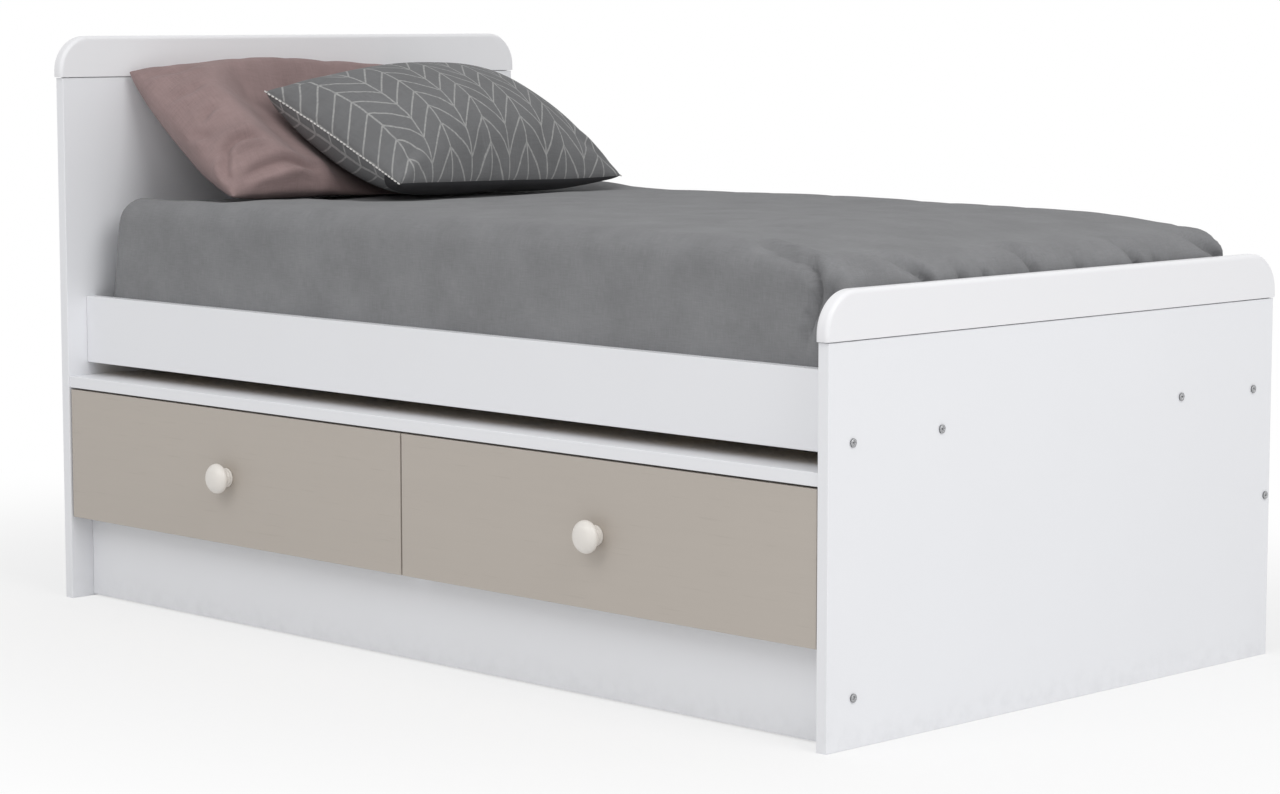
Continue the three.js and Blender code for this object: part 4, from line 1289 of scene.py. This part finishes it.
# Folds round the near and the far foot corner as (distance before the foot's side line, distance
# inside the long side's line) in metres, each with its width and depth as shares of the corner fold
CORNER_FOLDS = {
    -1: [
        ([(0.195, 0.062), (0.150, 0.041), (0.119, 0.032), (0.082, 0.026), (0.064, 0.017),
          (0.052, 0.004)], 1.0, 0.8),
        ([(0.085, -0.130), (0.070, -0.060), (0.058, -0.025), (0.053, -0.004), (0.060, 0.012),
          (0.10, 0.05)], 0.8, 1.0),
        ([(0.060, 0.110), (0.040, 0.072), (0.022, 0.038), (0.010, 0.020)], 0.9, 0.35),
    ],
    1: [
        ([(0.065, 0.120), (0.042, 0.104), (0.022, 0.084), (0.008, 0.062), (-0.002, 0.040),
          (-0.03, 0.02)], 0.9, 0.8),
        ([(0.110, 0.060), (0.075, 0.030), (0.050, 0.010), (0.040, -0.03)], 0.9, 0.3),
    ],
}

# Hollows at the foot corners: the near or the far side, the place as above, radius and depth
HOLLOWS = [
    (-1, (0.028, -0.020), 26 * MM, 11 * MM),
    (-1, (0.034, -0.048), 22 * MM, 7 * MM),
    (1, (0.004, -0.008), 22 * MM, 6 * MM),
]


def under_pillows(points, rim):
    """1 under the pillows, falling softly to 0 over the width of rim beside them."""
    covered = np.zeros(len(points))
    for name in ("pillow_rose", "pillow_grey"):
        low, high = (np.array(corner[:2]) for corner in BOXES[name])
        beside = np.maximum(np.maximum(low - points[:, :2], points[:, :2] - high), 0)
        distance = np.linalg.norm(beside, axis=1)
        covered = np.maximum(covered, smooth_step(1 - distance / rim))
    return covered


# Reach of the bedspread's unevenness on each axis, in metres
BROAD_SWELL = (0.24, 0.2, 0.3)
CLOSE_SWELL = (0.11, 0.085, 0.09)
SLANTING_WRINKLES = (0.062, 0.13, 0.5)
CROSSING_WRINKLES = (0.07, 0.10, 0.06)


def spread_relief(points, flats, inward, cover, sizes):
    """How far each point of the bedspread stands out of the plain form."""
    x, y, z = points.T
    on_side = 1 - smooth_step((inward + 10 * MM) / (50 * MM))
    relief = sizes.swell * uneven(points, BROAD_SWELL, 1)
    relief += sizes.swell * 0.45 * uneven(points, CLOSE_SWELL, 2)
    slanting = uneven(np.column_stack([x + 0.8 * z, 0.3 * x, y]), SLANTING_WRINKLES, 3)
    relief += sizes.wrinkle * 1.6 * on_side * slanting
    crossing = np.abs(uneven(np.column_stack([x - 0.6 * z, y * 0.8, z]), CROSSING_WRINKLES, 4))
    relief -= sizes.wrinkle * (1 - crossing) ** 4 * 0.6
    end, side = cover.flat
    lines = [
        ([(end - u, v) for u, v in path], width, depth * sizes.foot_fold, 1.8)
        for path, width, depth in FOOT_FOLDS
    ]
    lines += [
        ([(end - u, sign * (side - v)) for u, v in path], width, depth * sizes.corner_fold, 2.0)
        for sign, folds in CORNER_FOLDS.items() for path, width, depth in folds
    ]
    for line, width, depth, onset in lines:
        relief += crease(flats, line, width * sizes.fold_width, depth, onset)
    for sign, (u, v), radius, depth in HOLLOWS:
        distance = np.linalg.norm(flats - np.array([end - u, sign * (side - v)]), axis=1)
        relief -= depth * np.exp(-(distance / radius) ** 2)
    on_top = smooth_step(inward / cover.quarter)
    return relief - sizes.dent * on_top * under_pillows(points, sizes.dent_rim)


# The cloth pushed up beyond the pillows: its place from the grey pillow's far lower corner, and its
# reach along and across the bed
RIDGE_PLACE = np.array((-0.11, 0.03))
RIDGE_REACH = np.array((0.076, 0.05))


def far_ridge(points):
    """1 where the cloth is pushed up beyond the pillows' far lower corner, falling softly to 0."""
    corner = np.array(BOXES["pillow_grey"][1][:2])
    away = (points[:, :2] - corner - RIDGE_PLACE) / RIDGE_REACH
    return np.exp(-(away ** 2).sum(axis=1))


def clear_of_folds(points, flats, inward, cover, sizes):
    """How far the mattress stays back so that the valleys of the bedspread near a point clear it."""
    reach = 1.2 * sizes.fold_width
    shifts = ((0, 0), (reach, 0), (-reach, 0), (0, reach), (0, -reach))
    reliefs = [spread_relief(points, flats + np.array(shift), inward, cover, sizes) for shift in shifts]
    return -1.25 * np.min(reliefs, axis=0)


def mattress_form(sizes):
    """The mattress's plain form as (cover of its upper half, height of its base, of its middle)."""
    low, high = BOXES["mattress"]
    inset = sizes.mattress_inset
    half_length, half_width = (side / 2 - inset / 2 for side in (high - low)[:2])
    corner = sizes.corner - inset / 2
    top = high.z - sizes.crown - inset
    base = low.z + 0.2 * MM
    cover = Cover(half_length, half_width, corner, sizes.mattress_edge, top, centre("mattress"))
    return cover, base, (top + base) / 2


def make_pad(cover, base, level, sizes, material):
    """The quilted mattress: its upper half down to level, and the same one turned over."""
    places, outs, flats, inward, faces = cover.grid(sizes.mattress_cell, level)
    slants = flats @ np.array(((1, 1), (1, -1)))
    cross = np.abs(np.sin(np.pi * slants / sizes.quilting_pitch)).min(axis=1)
    on_top = smooth_step((inward - cover.quarter) / (30 * MM))
    pressed = sizes.quilting * (1 - np.minimum(cross * 3.0, 1.0)) ** 1.5 * on_top
    folds = clear_of_folds(places, flats, inward, cover, sizes)
    shaped = places - outs * np.maximum(pressed, folds)[:, None]
    count = len(shaped)
    vertices = settle_ends(np.vstack([shaped, turned_over(shaped, level)]), cover, base, sizes)
    faces += [tuple(count + i for i in reversed(face)) for face in faces]
    uv = [flats[i % count] for face in faces for i in face]
    pad = piece("mattress_pad", vertices, faces, material, uv)
    face_outwards(pad, merge=0.05 * MM)
    return pad


def make_piping(cover, base, level, sizes, material):
    """Piping round the mattress's upper and lower edges, clear of the bedspread's folds."""
    from_side = 2 * MM
    seam, ways, flats = cover.line(from_side, 12 * MM)
    inward = np.full(len(seam), from_side)
    sunk = np.maximum(clear_of_folds(seam, flats, inward, cover, sizes), 0)
    line = seam - ways * (sunk + 0.3 * sizes.piping)[:, None]
    paths = [settle_ends(path, cover, base, sizes) for path in (line, turned_over(line, level))]
    values = {"Radius": sizes.piping, "Material": material}
    return along_paths("mattress_piping", paths, piping_rule(), values)


class BED_OT_mattress(bpy.types.Operator):
    """Make the mattress with its quilting and piping."""

    bl_idname = "bed.mattress"
    bl_label = "Make Mattress"

    def execute(self, context):
        sizes = context.scene.bed_covers
        colours = context.scene.bed_colours
        cover, base, level = mattress_form(sizes)
        ticking = ticking_cloth(colours.ticking, colours.ticking_stripe, 0.8 * MM)
        pad = make_pad(cover, base, level, sizes, ticking)
        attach(pad, "frame")
        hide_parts("mattress")
        piping = make_piping(cover, base, level, sizes, thread(colours.ticking_stripe))
        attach(piping, "frame")
        return {"FINISHED"}


def spread_points(cover, places, outs, flats, inward, sizes):
    """The bedspread's points with its folds, its crown and the sag of its ends. It lies plain where
    it hangs behind the rails, and its folds stand out no further than there is room."""
    on_top = smooth_step(inward / cover.quarter)
    free_from = BOXES["front_rail"][1].z + 6 * MM
    above_rails = smooth_step((places[:, 2] - free_from) / (30 * MM))
    relief = spread_relief(places, flats, inward, cover, sizes) * above_rails
    most_on_side, most_on_top = 1.5 * MM, 5 * MM
    relief = np.minimum(relief, most_on_side + (most_on_top - most_on_side) * on_top)
    shaped = places + outs * relief[:, None]
    inner = (places[:, :2] - np.array(cover.middle[:2])) / np.array(cover.half)
    round_form = np.sqrt(np.clip(1 - inner ** 2, 0, None).prod(axis=1))
    shaped[:, 2] += sizes.crown * round_form * on_top
    shaped[:, 2] += sizes.ridge * far_ridge(shaped) * on_top ** 0.5
    shaped = settle_ends(shaped, cover, BOXES["mattress"][0].z, sizes)
    foot_limit = BOXES["footboard_cap"][0].x - 1.2 * MM
    shaped[:, 0] = np.minimum(shaped[:, 0], foot_limit)
    return shaped


class BED_OT_bedspread(bpy.types.Operator):
    """Make the bedspread with its folds."""

    bl_idname = "bed.bedspread"
    bl_label = "Make Bedspread"

    def execute(self, context):
        sizes = context.scene.bed_covers
        colours = context.scene.bed_colours
        low, high = BOXES["bedspread"]
        bed_low, bed_high = BOXES["mattress"]
        half_length, half_width = ((bed_high - bed_low) / 2)[:2]
        half_length += sizes.bulge / 2
        half_width += sizes.bulge
        room = 1.5 * MM
        top = high.z - sizes.crown - room
        cover = Cover(half_length, half_width, sizes.corner, sizes.edge, top, centre("mattress"))
        places, outs, flats, inward, faces = cover.grid(sizes.cell, low.z + 1 * MM)
        shaped = spread_points(cover, places, outs, flats, inward, sizes)
        uv = [flats[i] for face in faces for i in face]
        fabric = plain_cloth("spread_cloth", colours.spread, pitch=0.8 * MM, mottle=0.45)
        cloth = piece("bedspread_cloth", shaped, faces, fabric, uv)
        thick = cloth.modifiers.new("Cloth thickness", "SOLIDIFY")
        thick.thickness = sizes.cloth
        thick.offset = -1.0
        thick.use_rim = True
        settle(cloth)
        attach(cloth, "frame")
        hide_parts("bedspread")
        return {"FINISHED"}


# Pillows

def case_shape(sizes, s, t, face):
    """A filled case's plain form: full in the middle, thin at the seam, a little drawn in between
    its corners. s runs down the slope and t across, both from -1 to 1."""
    width, height, upper, lower, pull, slope, droop = sizes
    along, across = 1 - abs(s) ** 2.4, 1 - abs(t) ** 2.4
    if face > 0:
        swell = upper * (along * across) ** slope
    else:
        swell = -lower * along ** (1.0 if s > 0 else 0.5) * across ** 0.5
    x = height / 2 * s * (1 - pull * (1 - t * t))
    y = width / 2 * t * (1 - pull * (1 - s * s))
    return x, y, swell - droop * max(s, 0) ** 2 * (1 - t ** 4) * (1.4 + 0.4 * t)


def sewn_case(name, sizes, cell, start, material):
    """Two cloths that share their seam, upper face first, lying round the origin, filled up to a
    share of their full swell. In flat coordinates the lower one lies BACK_CLOTH beside the upper."""
    width, height = sizes[:2]
    rows = round(height / cell)
    columns = round(width / cell)
    index = {}
    vertices, faces, uv = [], [], []

    def point_key(face, i, j):
        """A point's key, the same for both cloths where it lies on the seam."""
        return (0 if i in (0, rows) or j in (0, columns) else face, i, j)

    for face in (1, -1):
        for i in range(rows + 1):
            for j in range(columns + 1):
                key = point_key(face, i, j)
                if key not in index:
                    index[key] = len(vertices)
                    x, y, z = case_shape(sizes, 2 * i / rows - 1, 2 * j / columns - 1, face)
                    vertices.append((x, y, z * start))
        for i in range(rows):
            for j in range(columns):
                corners = [(i, j), (i + 1, j), (i + 1, j + 1), (i, j + 1)]
                if face < 0:
                    corners.reverse()
                faces.append(tuple(index[point_key(face, a, b)] for a, b in corners))
                aside = BACK_CLOTH if face < 0 else 0.0
                for a, b in corners:
                    uv.append((width * (b / columns - 0.5) + aside, height * (a / rows - 0.5)))
    seam_line = [index[(0, i, j)] for i, j in border(rows, columns)]
    sides = [[index[(0, i, j)] for i in range(rows + 1)] for j in (0, columns)]
    return piece(name, vertices, faces, material, uv), seam_line, sides


def fill_case(case, seam_line, pressure, slack, cap):
    """Blows a case up with cloth simulation. Its cloth is a little too large for its seam, which
    gives puckers, and no point moves by more than about cap."""
    start = points_of(case)
    loose = case.vertex_groups.new(name="loose")
    seam = set(seam_line)
    loose.add([i for i in range(len(start)) if i not in seam], 1.0, "REPLACE")
    cloth = case.modifiers.new("Filling", "CLOTH")
    for key, value in {
        "quality": 6,
        "mass": 0.15,
        "tension_stiffness": 20,
        "compression_stiffness": 20,
        "shear_stiffness": 8,
        "bending_stiffness": 0.4,
        "use_pressure": True,
        "uniform_pressure_force": pressure,
        "vertex_group_shrink": "loose",
        "shrink_min": 0.0,
        "shrink_max": -slack,
    }.items():
        setattr(cloth.settings, key, value)
    cloth.settings.effector_weights.gravity = 0
    cloth.collision_settings.use_collision = False
    last_step = 20
    cloth.point_cache.frame_start = 1
    cloth.point_cache.frame_end = last_step
    scene = bpy.context.scene
    for step in range(1, last_step + 1):
        scene.frame_set(step)
    settle(case)
    scene.frame_set(1)
    case.vertex_groups.clear()
    moved = points_of(case) - start
    size = np.maximum(np.linalg.norm(moved, axis=1, keepdims=True), 1e-9)
    set_points(case, start + moved / size * cap * np.tanh(size / cap))


def lying(sizes, tilt, turn, roll, node):
    """The turn and the shift that bring a case's plain form to the place of its CAD node."""
    about = zip((turn, tilt, roll), "ZYX")
    first, second, third = (Matrix.Rotation(angle, 3, axis) for angle, axis in about)
    way = np.array(first @ second @ third)
    steps = np.linspace(-1, 1, 61)
    plain = [case_shape(sizes, s, t, face) for s in steps for t in steps for face in (1, -1)]
    points = np.array(plain) @ way.T
    low, high = BOXES[node]
    return way, np.array([
        low.x - points[:, 0].min(),
        centre(node).y - (points[:, 1].min() + points[:, 1].max()) / 2,
        high.z - points[:, 2].max(),
    ])


def soften_limit(distance, give):
    """A distance to a surface, kept above zero and rounded off within give of it."""
    return np.where(distance < give, give * np.exp(np.minimum(distance, give) / give - 1), distance)


def rest_on(case, ground, gap, give):
    """Presses a case flat where it lies on another piece."""
    tree = surface_of(ground)
    points = points_of(case)
    for i, point in enumerate(points):
        hit = tree.ray_cast(Vector((point[0], point[1], 1.0)), Vector((0, 0, -1)))[0]
        if hit is not None:
            base = hit.z + gap
            points[i, 2] = base + soften_limit(np.array(point[2] - base), give)
    set_points(case, points)


def rest_under(case, other, way, shift, half, gap, give):
    """Dents a case where another one lies on it. way and shift turn and place the other one, and
    half is its half height and width. Beyond its edges the dent has a soft rim that curves up."""

    def rim(distance, slope, radius):
        return slope * distance + distance ** 2 / radius

    tree = surface_of(other)
    reach = 0.88
    local = (points_of(case) - shift) @ way
    up = Vector(way[:, 2])
    for i, (x, y, z) in enumerate(local):
        inner = [np.clip(place, -side * reach, side * reach) for place, side in zip((x, y), half)]
        above = max(abs(x) - half[0], 0.0)
        beside = max(abs(y) - half[1], 0.0)
        hit = tree.ray_cast(Vector(way @ np.array([*inner, -0.5]) + shift), up)[0]
        under = ((np.array(hit) - shift) @ way)[2]
        limit = under + rim(above, 0.45, 80 * MM) + rim(beside, 0.5, 200 * MM) - gap
        local[i, 2] = limit - float(soften_limit(np.array(limit - z), give))
    set_points(case, local @ way.T + shift)


def stand_against(case, wall, give):
    """Keeps a case in front of a wall at x = wall."""
    points = points_of(case)
    points[:, 0] = wall + soften_limit(points[:, 0] - wall, give)
    set_points(case, points)


# Reach of the cases' puckers and of the filling's unevenness on each axis, in metres
PUCKER_REACH = (0.024, 0.024, 0.05)
FILLING_REACH = (0.07, 0.08, 0.07)

# Where each case's puckers start in the noise
PUCKER_SEEDS = {"rose": 11, "grey": 17}


def crumple(case, seam_line, depth, seed):
    """Small puckers that run in from the seam, and a slight unevenness of the filling."""
    points = points_of(case)
    seam = points[seam_line]
    distance = np.array([np.min(np.linalg.norm(seam - p, axis=1)) for p in points])
    near = np.exp(-(distance / (35 * MM)) ** 2) * smooth_step(distance / (8 * MM))
    relief = depth * near * uneven(points, PUCKER_REACH, seed)
    inside = smooth_step(distance / (50 * MM))
    relief += depth * 0.9 * inside * uneven(points, FILLING_REACH, seed + 1)
    set_points(case, points + vectors_of(case, "normal") * relief[:, None])


def make_case(name, node, sizes, label, material):
    """One pillow: its filled case, and its turn, shift and side seams."""

    def own(*keys):
        """This pillow's own values among the sizes of both."""
        return [getattr(sizes, f"{label}_{key}") for key in keys]

    case_sizes = own("width", "height", "upper", "lower", "pull", "slope", "droop")
    start = sizes.start
    case, seam_line, sides = sewn_case(name, case_sizes, sizes.cell, start, material)
    fill_case(case, seam_line, sizes.pressure, sizes.slack, sizes.cap)
    crumple(case, seam_line, 1.6 * MM, PUCKER_SEEDS[label])
    way, place = lying(case_sizes, *own("tilt", "turn", "roll"), node)
    place += np.array(own("shift")[0])
    set_points(case, points_of(case) @ way.T + place)
    return case, way, place, sides


def subdivide(case):
    """Rounds a case off by one level."""
    rounding = case.modifiers.new("Round", "SUBSURF")
    rounding.levels = 1
    settle(case)


def flat_of(made):
    """The flat coordinates of each vertex on its own cloth."""
    mesh = made.data
    corners = np.zeros(len(mesh.loops), dtype=int)
    mesh.loops.foreach_get("vertex_index", corners)
    uv = np.zeros(len(mesh.loops) * 2)
    mesh.uv_layers["flat_cloth"].data.foreach_get("uv", uv)
    flats = np.zeros((len(mesh.vertices), 2))
    flats[corners] = uv.reshape(-1, 2)
    flats[:, 0] -= BACK_CLOTH * np.round(flats[:, 0] / BACK_CLOTH)
    return flats


def fold_case(case, way, folds):
    """Presses folds into a case's upper face. Each one is a line of flat points, a width and a depth."""
    normals = vectors_of(case, "normal")
    upper = smooth_step((normals @ way)[:, 2] / 0.15)
    flats = flat_of(case)
    relief = sum(crease(flats, path, width, depth, 4.0) for path, width, depth in folds) * upper
    set_points(case, points_of(case) + normals * relief[:, None])


def finish_case(case, way, folds, node):
    subdivide(case)
    fold_case(case, way, folds)
    subdivide(case)
    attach(case, "frame")
    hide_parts(node)


# Folds of the pillows' upper faces as (place across, place down the slope), width and depth
ROSE_FOLDS = [
    ([(-0.222, 0.084), (-0.212, 0.072), (-0.197, 0.065), (-0.182, 0.066), (-0.155, 0.074)],
     6.5 * MM, 11 * MM),
    ([(-0.212, 0.074), (-0.224, 0.090), (-0.229, 0.103), (-0.226, 0.124)], 5.5 * MM, 10 * MM),
    ([(-0.218, 0.126), (-0.184, 0.117), (-0.158, 0.116), (-0.115, 0.112), (-0.07, 0.116)],
     7 * MM, 9 * MM),
    ([(-0.218, 0.014), (-0.205, 0.003), (-0.185, 0.0)], 6 * MM, 6 * MM),
    ([(-0.236, 0.004), (-0.228, 0.024), (-0.214, 0.042)], 5.5 * MM, 7 * MM),
    ([(-0.232, -0.115), (-0.19, -0.095), (-0.15, -0.10)], 8 * MM, 5 * MM),
    ([(-0.232, -0.055), (-0.20, -0.045), (-0.17, -0.052)], 7 * MM, 5 * MM),
    ([(0.225, 0.10), (0.19, 0.085), (0.15, 0.082)], 8 * MM, 7 * MM),
]
GREY_FOLDS = [
    ([(-0.222, 0.128), (-0.190, 0.108), (-0.160, 0.100)], 8 * MM, 3 * MM),
    ([(-0.220, -0.125), (-0.190, -0.105), (-0.150, -0.095)], 8 * MM, 3 * MM),
    ([(0.220, 0.128), (0.190, 0.100), (0.150, 0.092)], 9 * MM, 3.5 * MM),
    ([(-0.06, 0.136), (-0.05, 0.110), (-0.052, 0.085)], 8 * MM, 2.5 * MM),
    ([(0.08, 0.136), (0.075, 0.112), (0.083, 0.088)], 8 * MM, 2.5 * MM),
]


class BED_OT_pillows(bpy.types.Operator):
    """Make the two pillows, the grey one first, and press them together."""

    bl_idname = "bed.pillows"
    bl_label = "Make Pillows"

    def execute(self, context):
        sizes = context.scene.bed_pillows
        colours = context.scene.bed_colours
        ground = bpy.data.objects["bedspread_cloth"]
        gap, give = 1.0 * MM, 8 * MM
        pattern = chevron_cloth(colours, sizes)
        grey, way, place, sides = make_case("grey_pillow_case", "pillow_grey", sizes, "grey", pattern)
        rest_on(grey, ground, gap, give)
        look = {"pitch": 1.0 * MM, "mottle": 0.6, "relief": 0.16 * MM, "sheen": 0.1}
        rose_cloth = plain_cloth("rose_cloth", colours.rose, **look)
        rose, rose_way, _, _ = make_case("rose_pillow_case", "pillow_rose", sizes, "rose", rose_cloth)
        stand_against(rose, BOXES["pillow_rose"][0].x, give=12 * MM)
        half = (sizes.grey_height / 2, sizes.grey_width / 2)
        rest_under(rose, grey, way, place, half, gap=1.5 * MM, give=50 * MM)
        rest_on(rose, ground, gap, give)
        finish_case(grey, way, GREY_FOLDS, "pillow_grey")
        finish_case(rose, rose_way, ROSE_FOLDS, "pillow_rose")
        seam = points_of(grey)
        proud = way[:, 1] * sizes.stitch_radius * 0.7
        paths = [[seam[i] + sign * proud for i in side] for sign, side in zip((-1, 1), sides)]
        stitches = along_paths("grey_pillow_stitches", paths, stitch_rule(), {
            "Pitch": sizes.stitch_pitch,
            "Stitch": sizes.stitch,
            "Radius": sizes.stitch_radius,
            "Material": thread(colours.thread),
        })
        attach(stitches, "frame")
        return {"FINISHED"}


# Studio

def area_light(name, place, target, size, energy):
    """A white rectangular lamp that faces a target."""
    light = bpy.data.lights.new(name, "AREA")
    light.shape = "RECTANGLE"
    light.size, light.size_y = size
    light.energy = energy
    lamp = link(name, light)
    lamp.location = place
    lamp.rotation_euler = (Vector(target) - Vector(place)).to_track_quat("-Z", "Y").to_euler()


def seen_directly(tree):
    """1 for rays that show the background: from the camera, a mirror or through glass."""
    rays = tree.node("ShaderNodeLightPath")
    glossy = rays.other("Is Glossy Ray").at_least(rays.other("Is Transmission Ray"))
    return rays.other("Is Camera Ray").at_least(glossy)


def floor_finish(shade_of):
    """A pale floor that keeps the bed's soft shadow and fades to white away from the bed."""
    material = bpy.data.materials.new("pale_floor")
    material.use_nodes = True
    tree = Tree(material.node_tree)
    material.node_tree.nodes.clear()
    place = tree.place()
    grit = tree.noise(place, 300.0, 3.0)
    x, y, _ = tree.split(place)
    distance = (x * x * 0.6 + y * y).math("SQRT")
    near_bed, away = 0.62, 1.0
    far = near_bed + (away - near_bed) * distance.step(0.55, 1.4)
    pale = tree.tint(shade_of, 0.99 + grit * 0.02)
    shade = tree.node("ShaderNodeBsdfDiffuse", None, {"Color": pale})
    glow = tree.node("ShaderNodeEmission", None, {"Color": (1, 1, 1), "Strength": 1.0})
    both = tree.node("ShaderNodeMixShader", None, [far * seen_directly(tree), shade, glow])
    tree.node("ShaderNodeOutputMaterial", None, [both])
    return material


class BED_OT_stage(bpy.types.Operator):
    """Set up the floor, the light and the camera."""

    bl_idname = "bed.stage"
    bl_label = "Set Stage"

    def execute(self, context):
        sizes = context.scene.bed_stage
        scene = context.scene
        reach = 12.0
        corners = [(-reach, -reach, 0), (reach, -reach, 0), (reach, reach, 0), (-reach, reach, 0)]
        floor = piece("floor", corners, [(0, 1, 2, 3)], floor_finish(sizes.floor))

        world = bpy.data.worlds.new("studio")
        scene.world = world
        world.use_nodes = True
        world.node_tree.nodes.clear()
        tree = Tree(world.node_tree)
        seen = seen_directly(tree)
        strength = seen + (1.0 - seen) * sizes.ambient
        sky = tree.node("ShaderNodeBackground", None, {"Color": (1, 1, 1), "Strength": strength})
        tree.node("ShaderNodeOutputWorld", None, [sky])

        aim = (0.0, 0.0, 0.35)
        area_light("front_light", (0.4, -3.0, 3.0), aim, (3.0, 2.0), sizes.key)
        area_light("foot_light", (3.2, -0.6, 2.9), aim, (2.0, 2.4), sizes.side)

        camera = bpy.data.cameras.new("camera")
        camera.sensor_width = 36.0
        camera.lens = sizes.lens
        view = link("camera", camera)
        view.location = sizes.eye
        view.rotation_euler = (math.pi / 2 - sizes.pitch, 0.0, sizes.heading)
        scene.camera = view
        scene.view_settings.view_transform = "Standard"
        return {"FINISHED"}


class BED_PT_sidebar(bpy.types.Panel):
    """The bed's operators and sizes."""

    bl_label = "Toddler Bed"
    bl_idname = "BED_PT_sidebar"
    bl_space_type = "VIEW_3D"
    bl_region_type = "UI"
    bl_category = "Bed"

    def draw(self, context):
        layout = self.layout
        for operator in OPERATORS:
            layout.operator(operator.bl_idname)
        for name in GROUPS:
            group = getattr(context.scene, name)
            box = layout.box()
            box.label(text=group.__class__.__doc__.strip("."))
            for key in group.__class__.__annotations__:
                box.prop(group, key)


GROUPS = {
    "bed_colours": BedColours,
    "bed_boards": BedBoards,
    "bed_covers": BedCovers,
    "bed_pillows": BedPillows,
    "bed_stage": BedStage,
}
OPERATORS = (
    BED_OT_boards, BED_OT_runners, BED_OT_caps, BED_OT_knobs, BED_OT_screws, BED_OT_mattress,
    BED_OT_bedspread, BED_OT_pillows, BED_OT_stage,
)


def register():
    for kind in (*GROUPS.values(), *OPERATORS, BED_PT_sidebar):
        bpy.utils.register_class(kind)
    for name, group in GROUPS.items():
        setattr(bpy.types.Scene, name, PointerProperty(type=group))


def unregister():
    for name in GROUPS:
        delattr(bpy.types.Scene, name)
    for kind in (BED_PT_sidebar, *reversed(OPERATORS), *reversed(GROUPS.values())):
        bpy.utils.unregister_class(kind)


def main():
    """Makes the whole bed and its studio."""
    register()
    bpy.ops.bed.boards()
    bpy.ops.bed.runners()
    bpy.ops.bed.caps()
    bpy.ops.bed.knobs()
    bpy.ops.bed.screws()
    bpy.ops.bed.mattress()
    bpy.ops.bed.bedspread()
    bpy.ops.bed.pillows()
    bpy.ops.bed.stage()


if __name__ == "__main__":
    main()
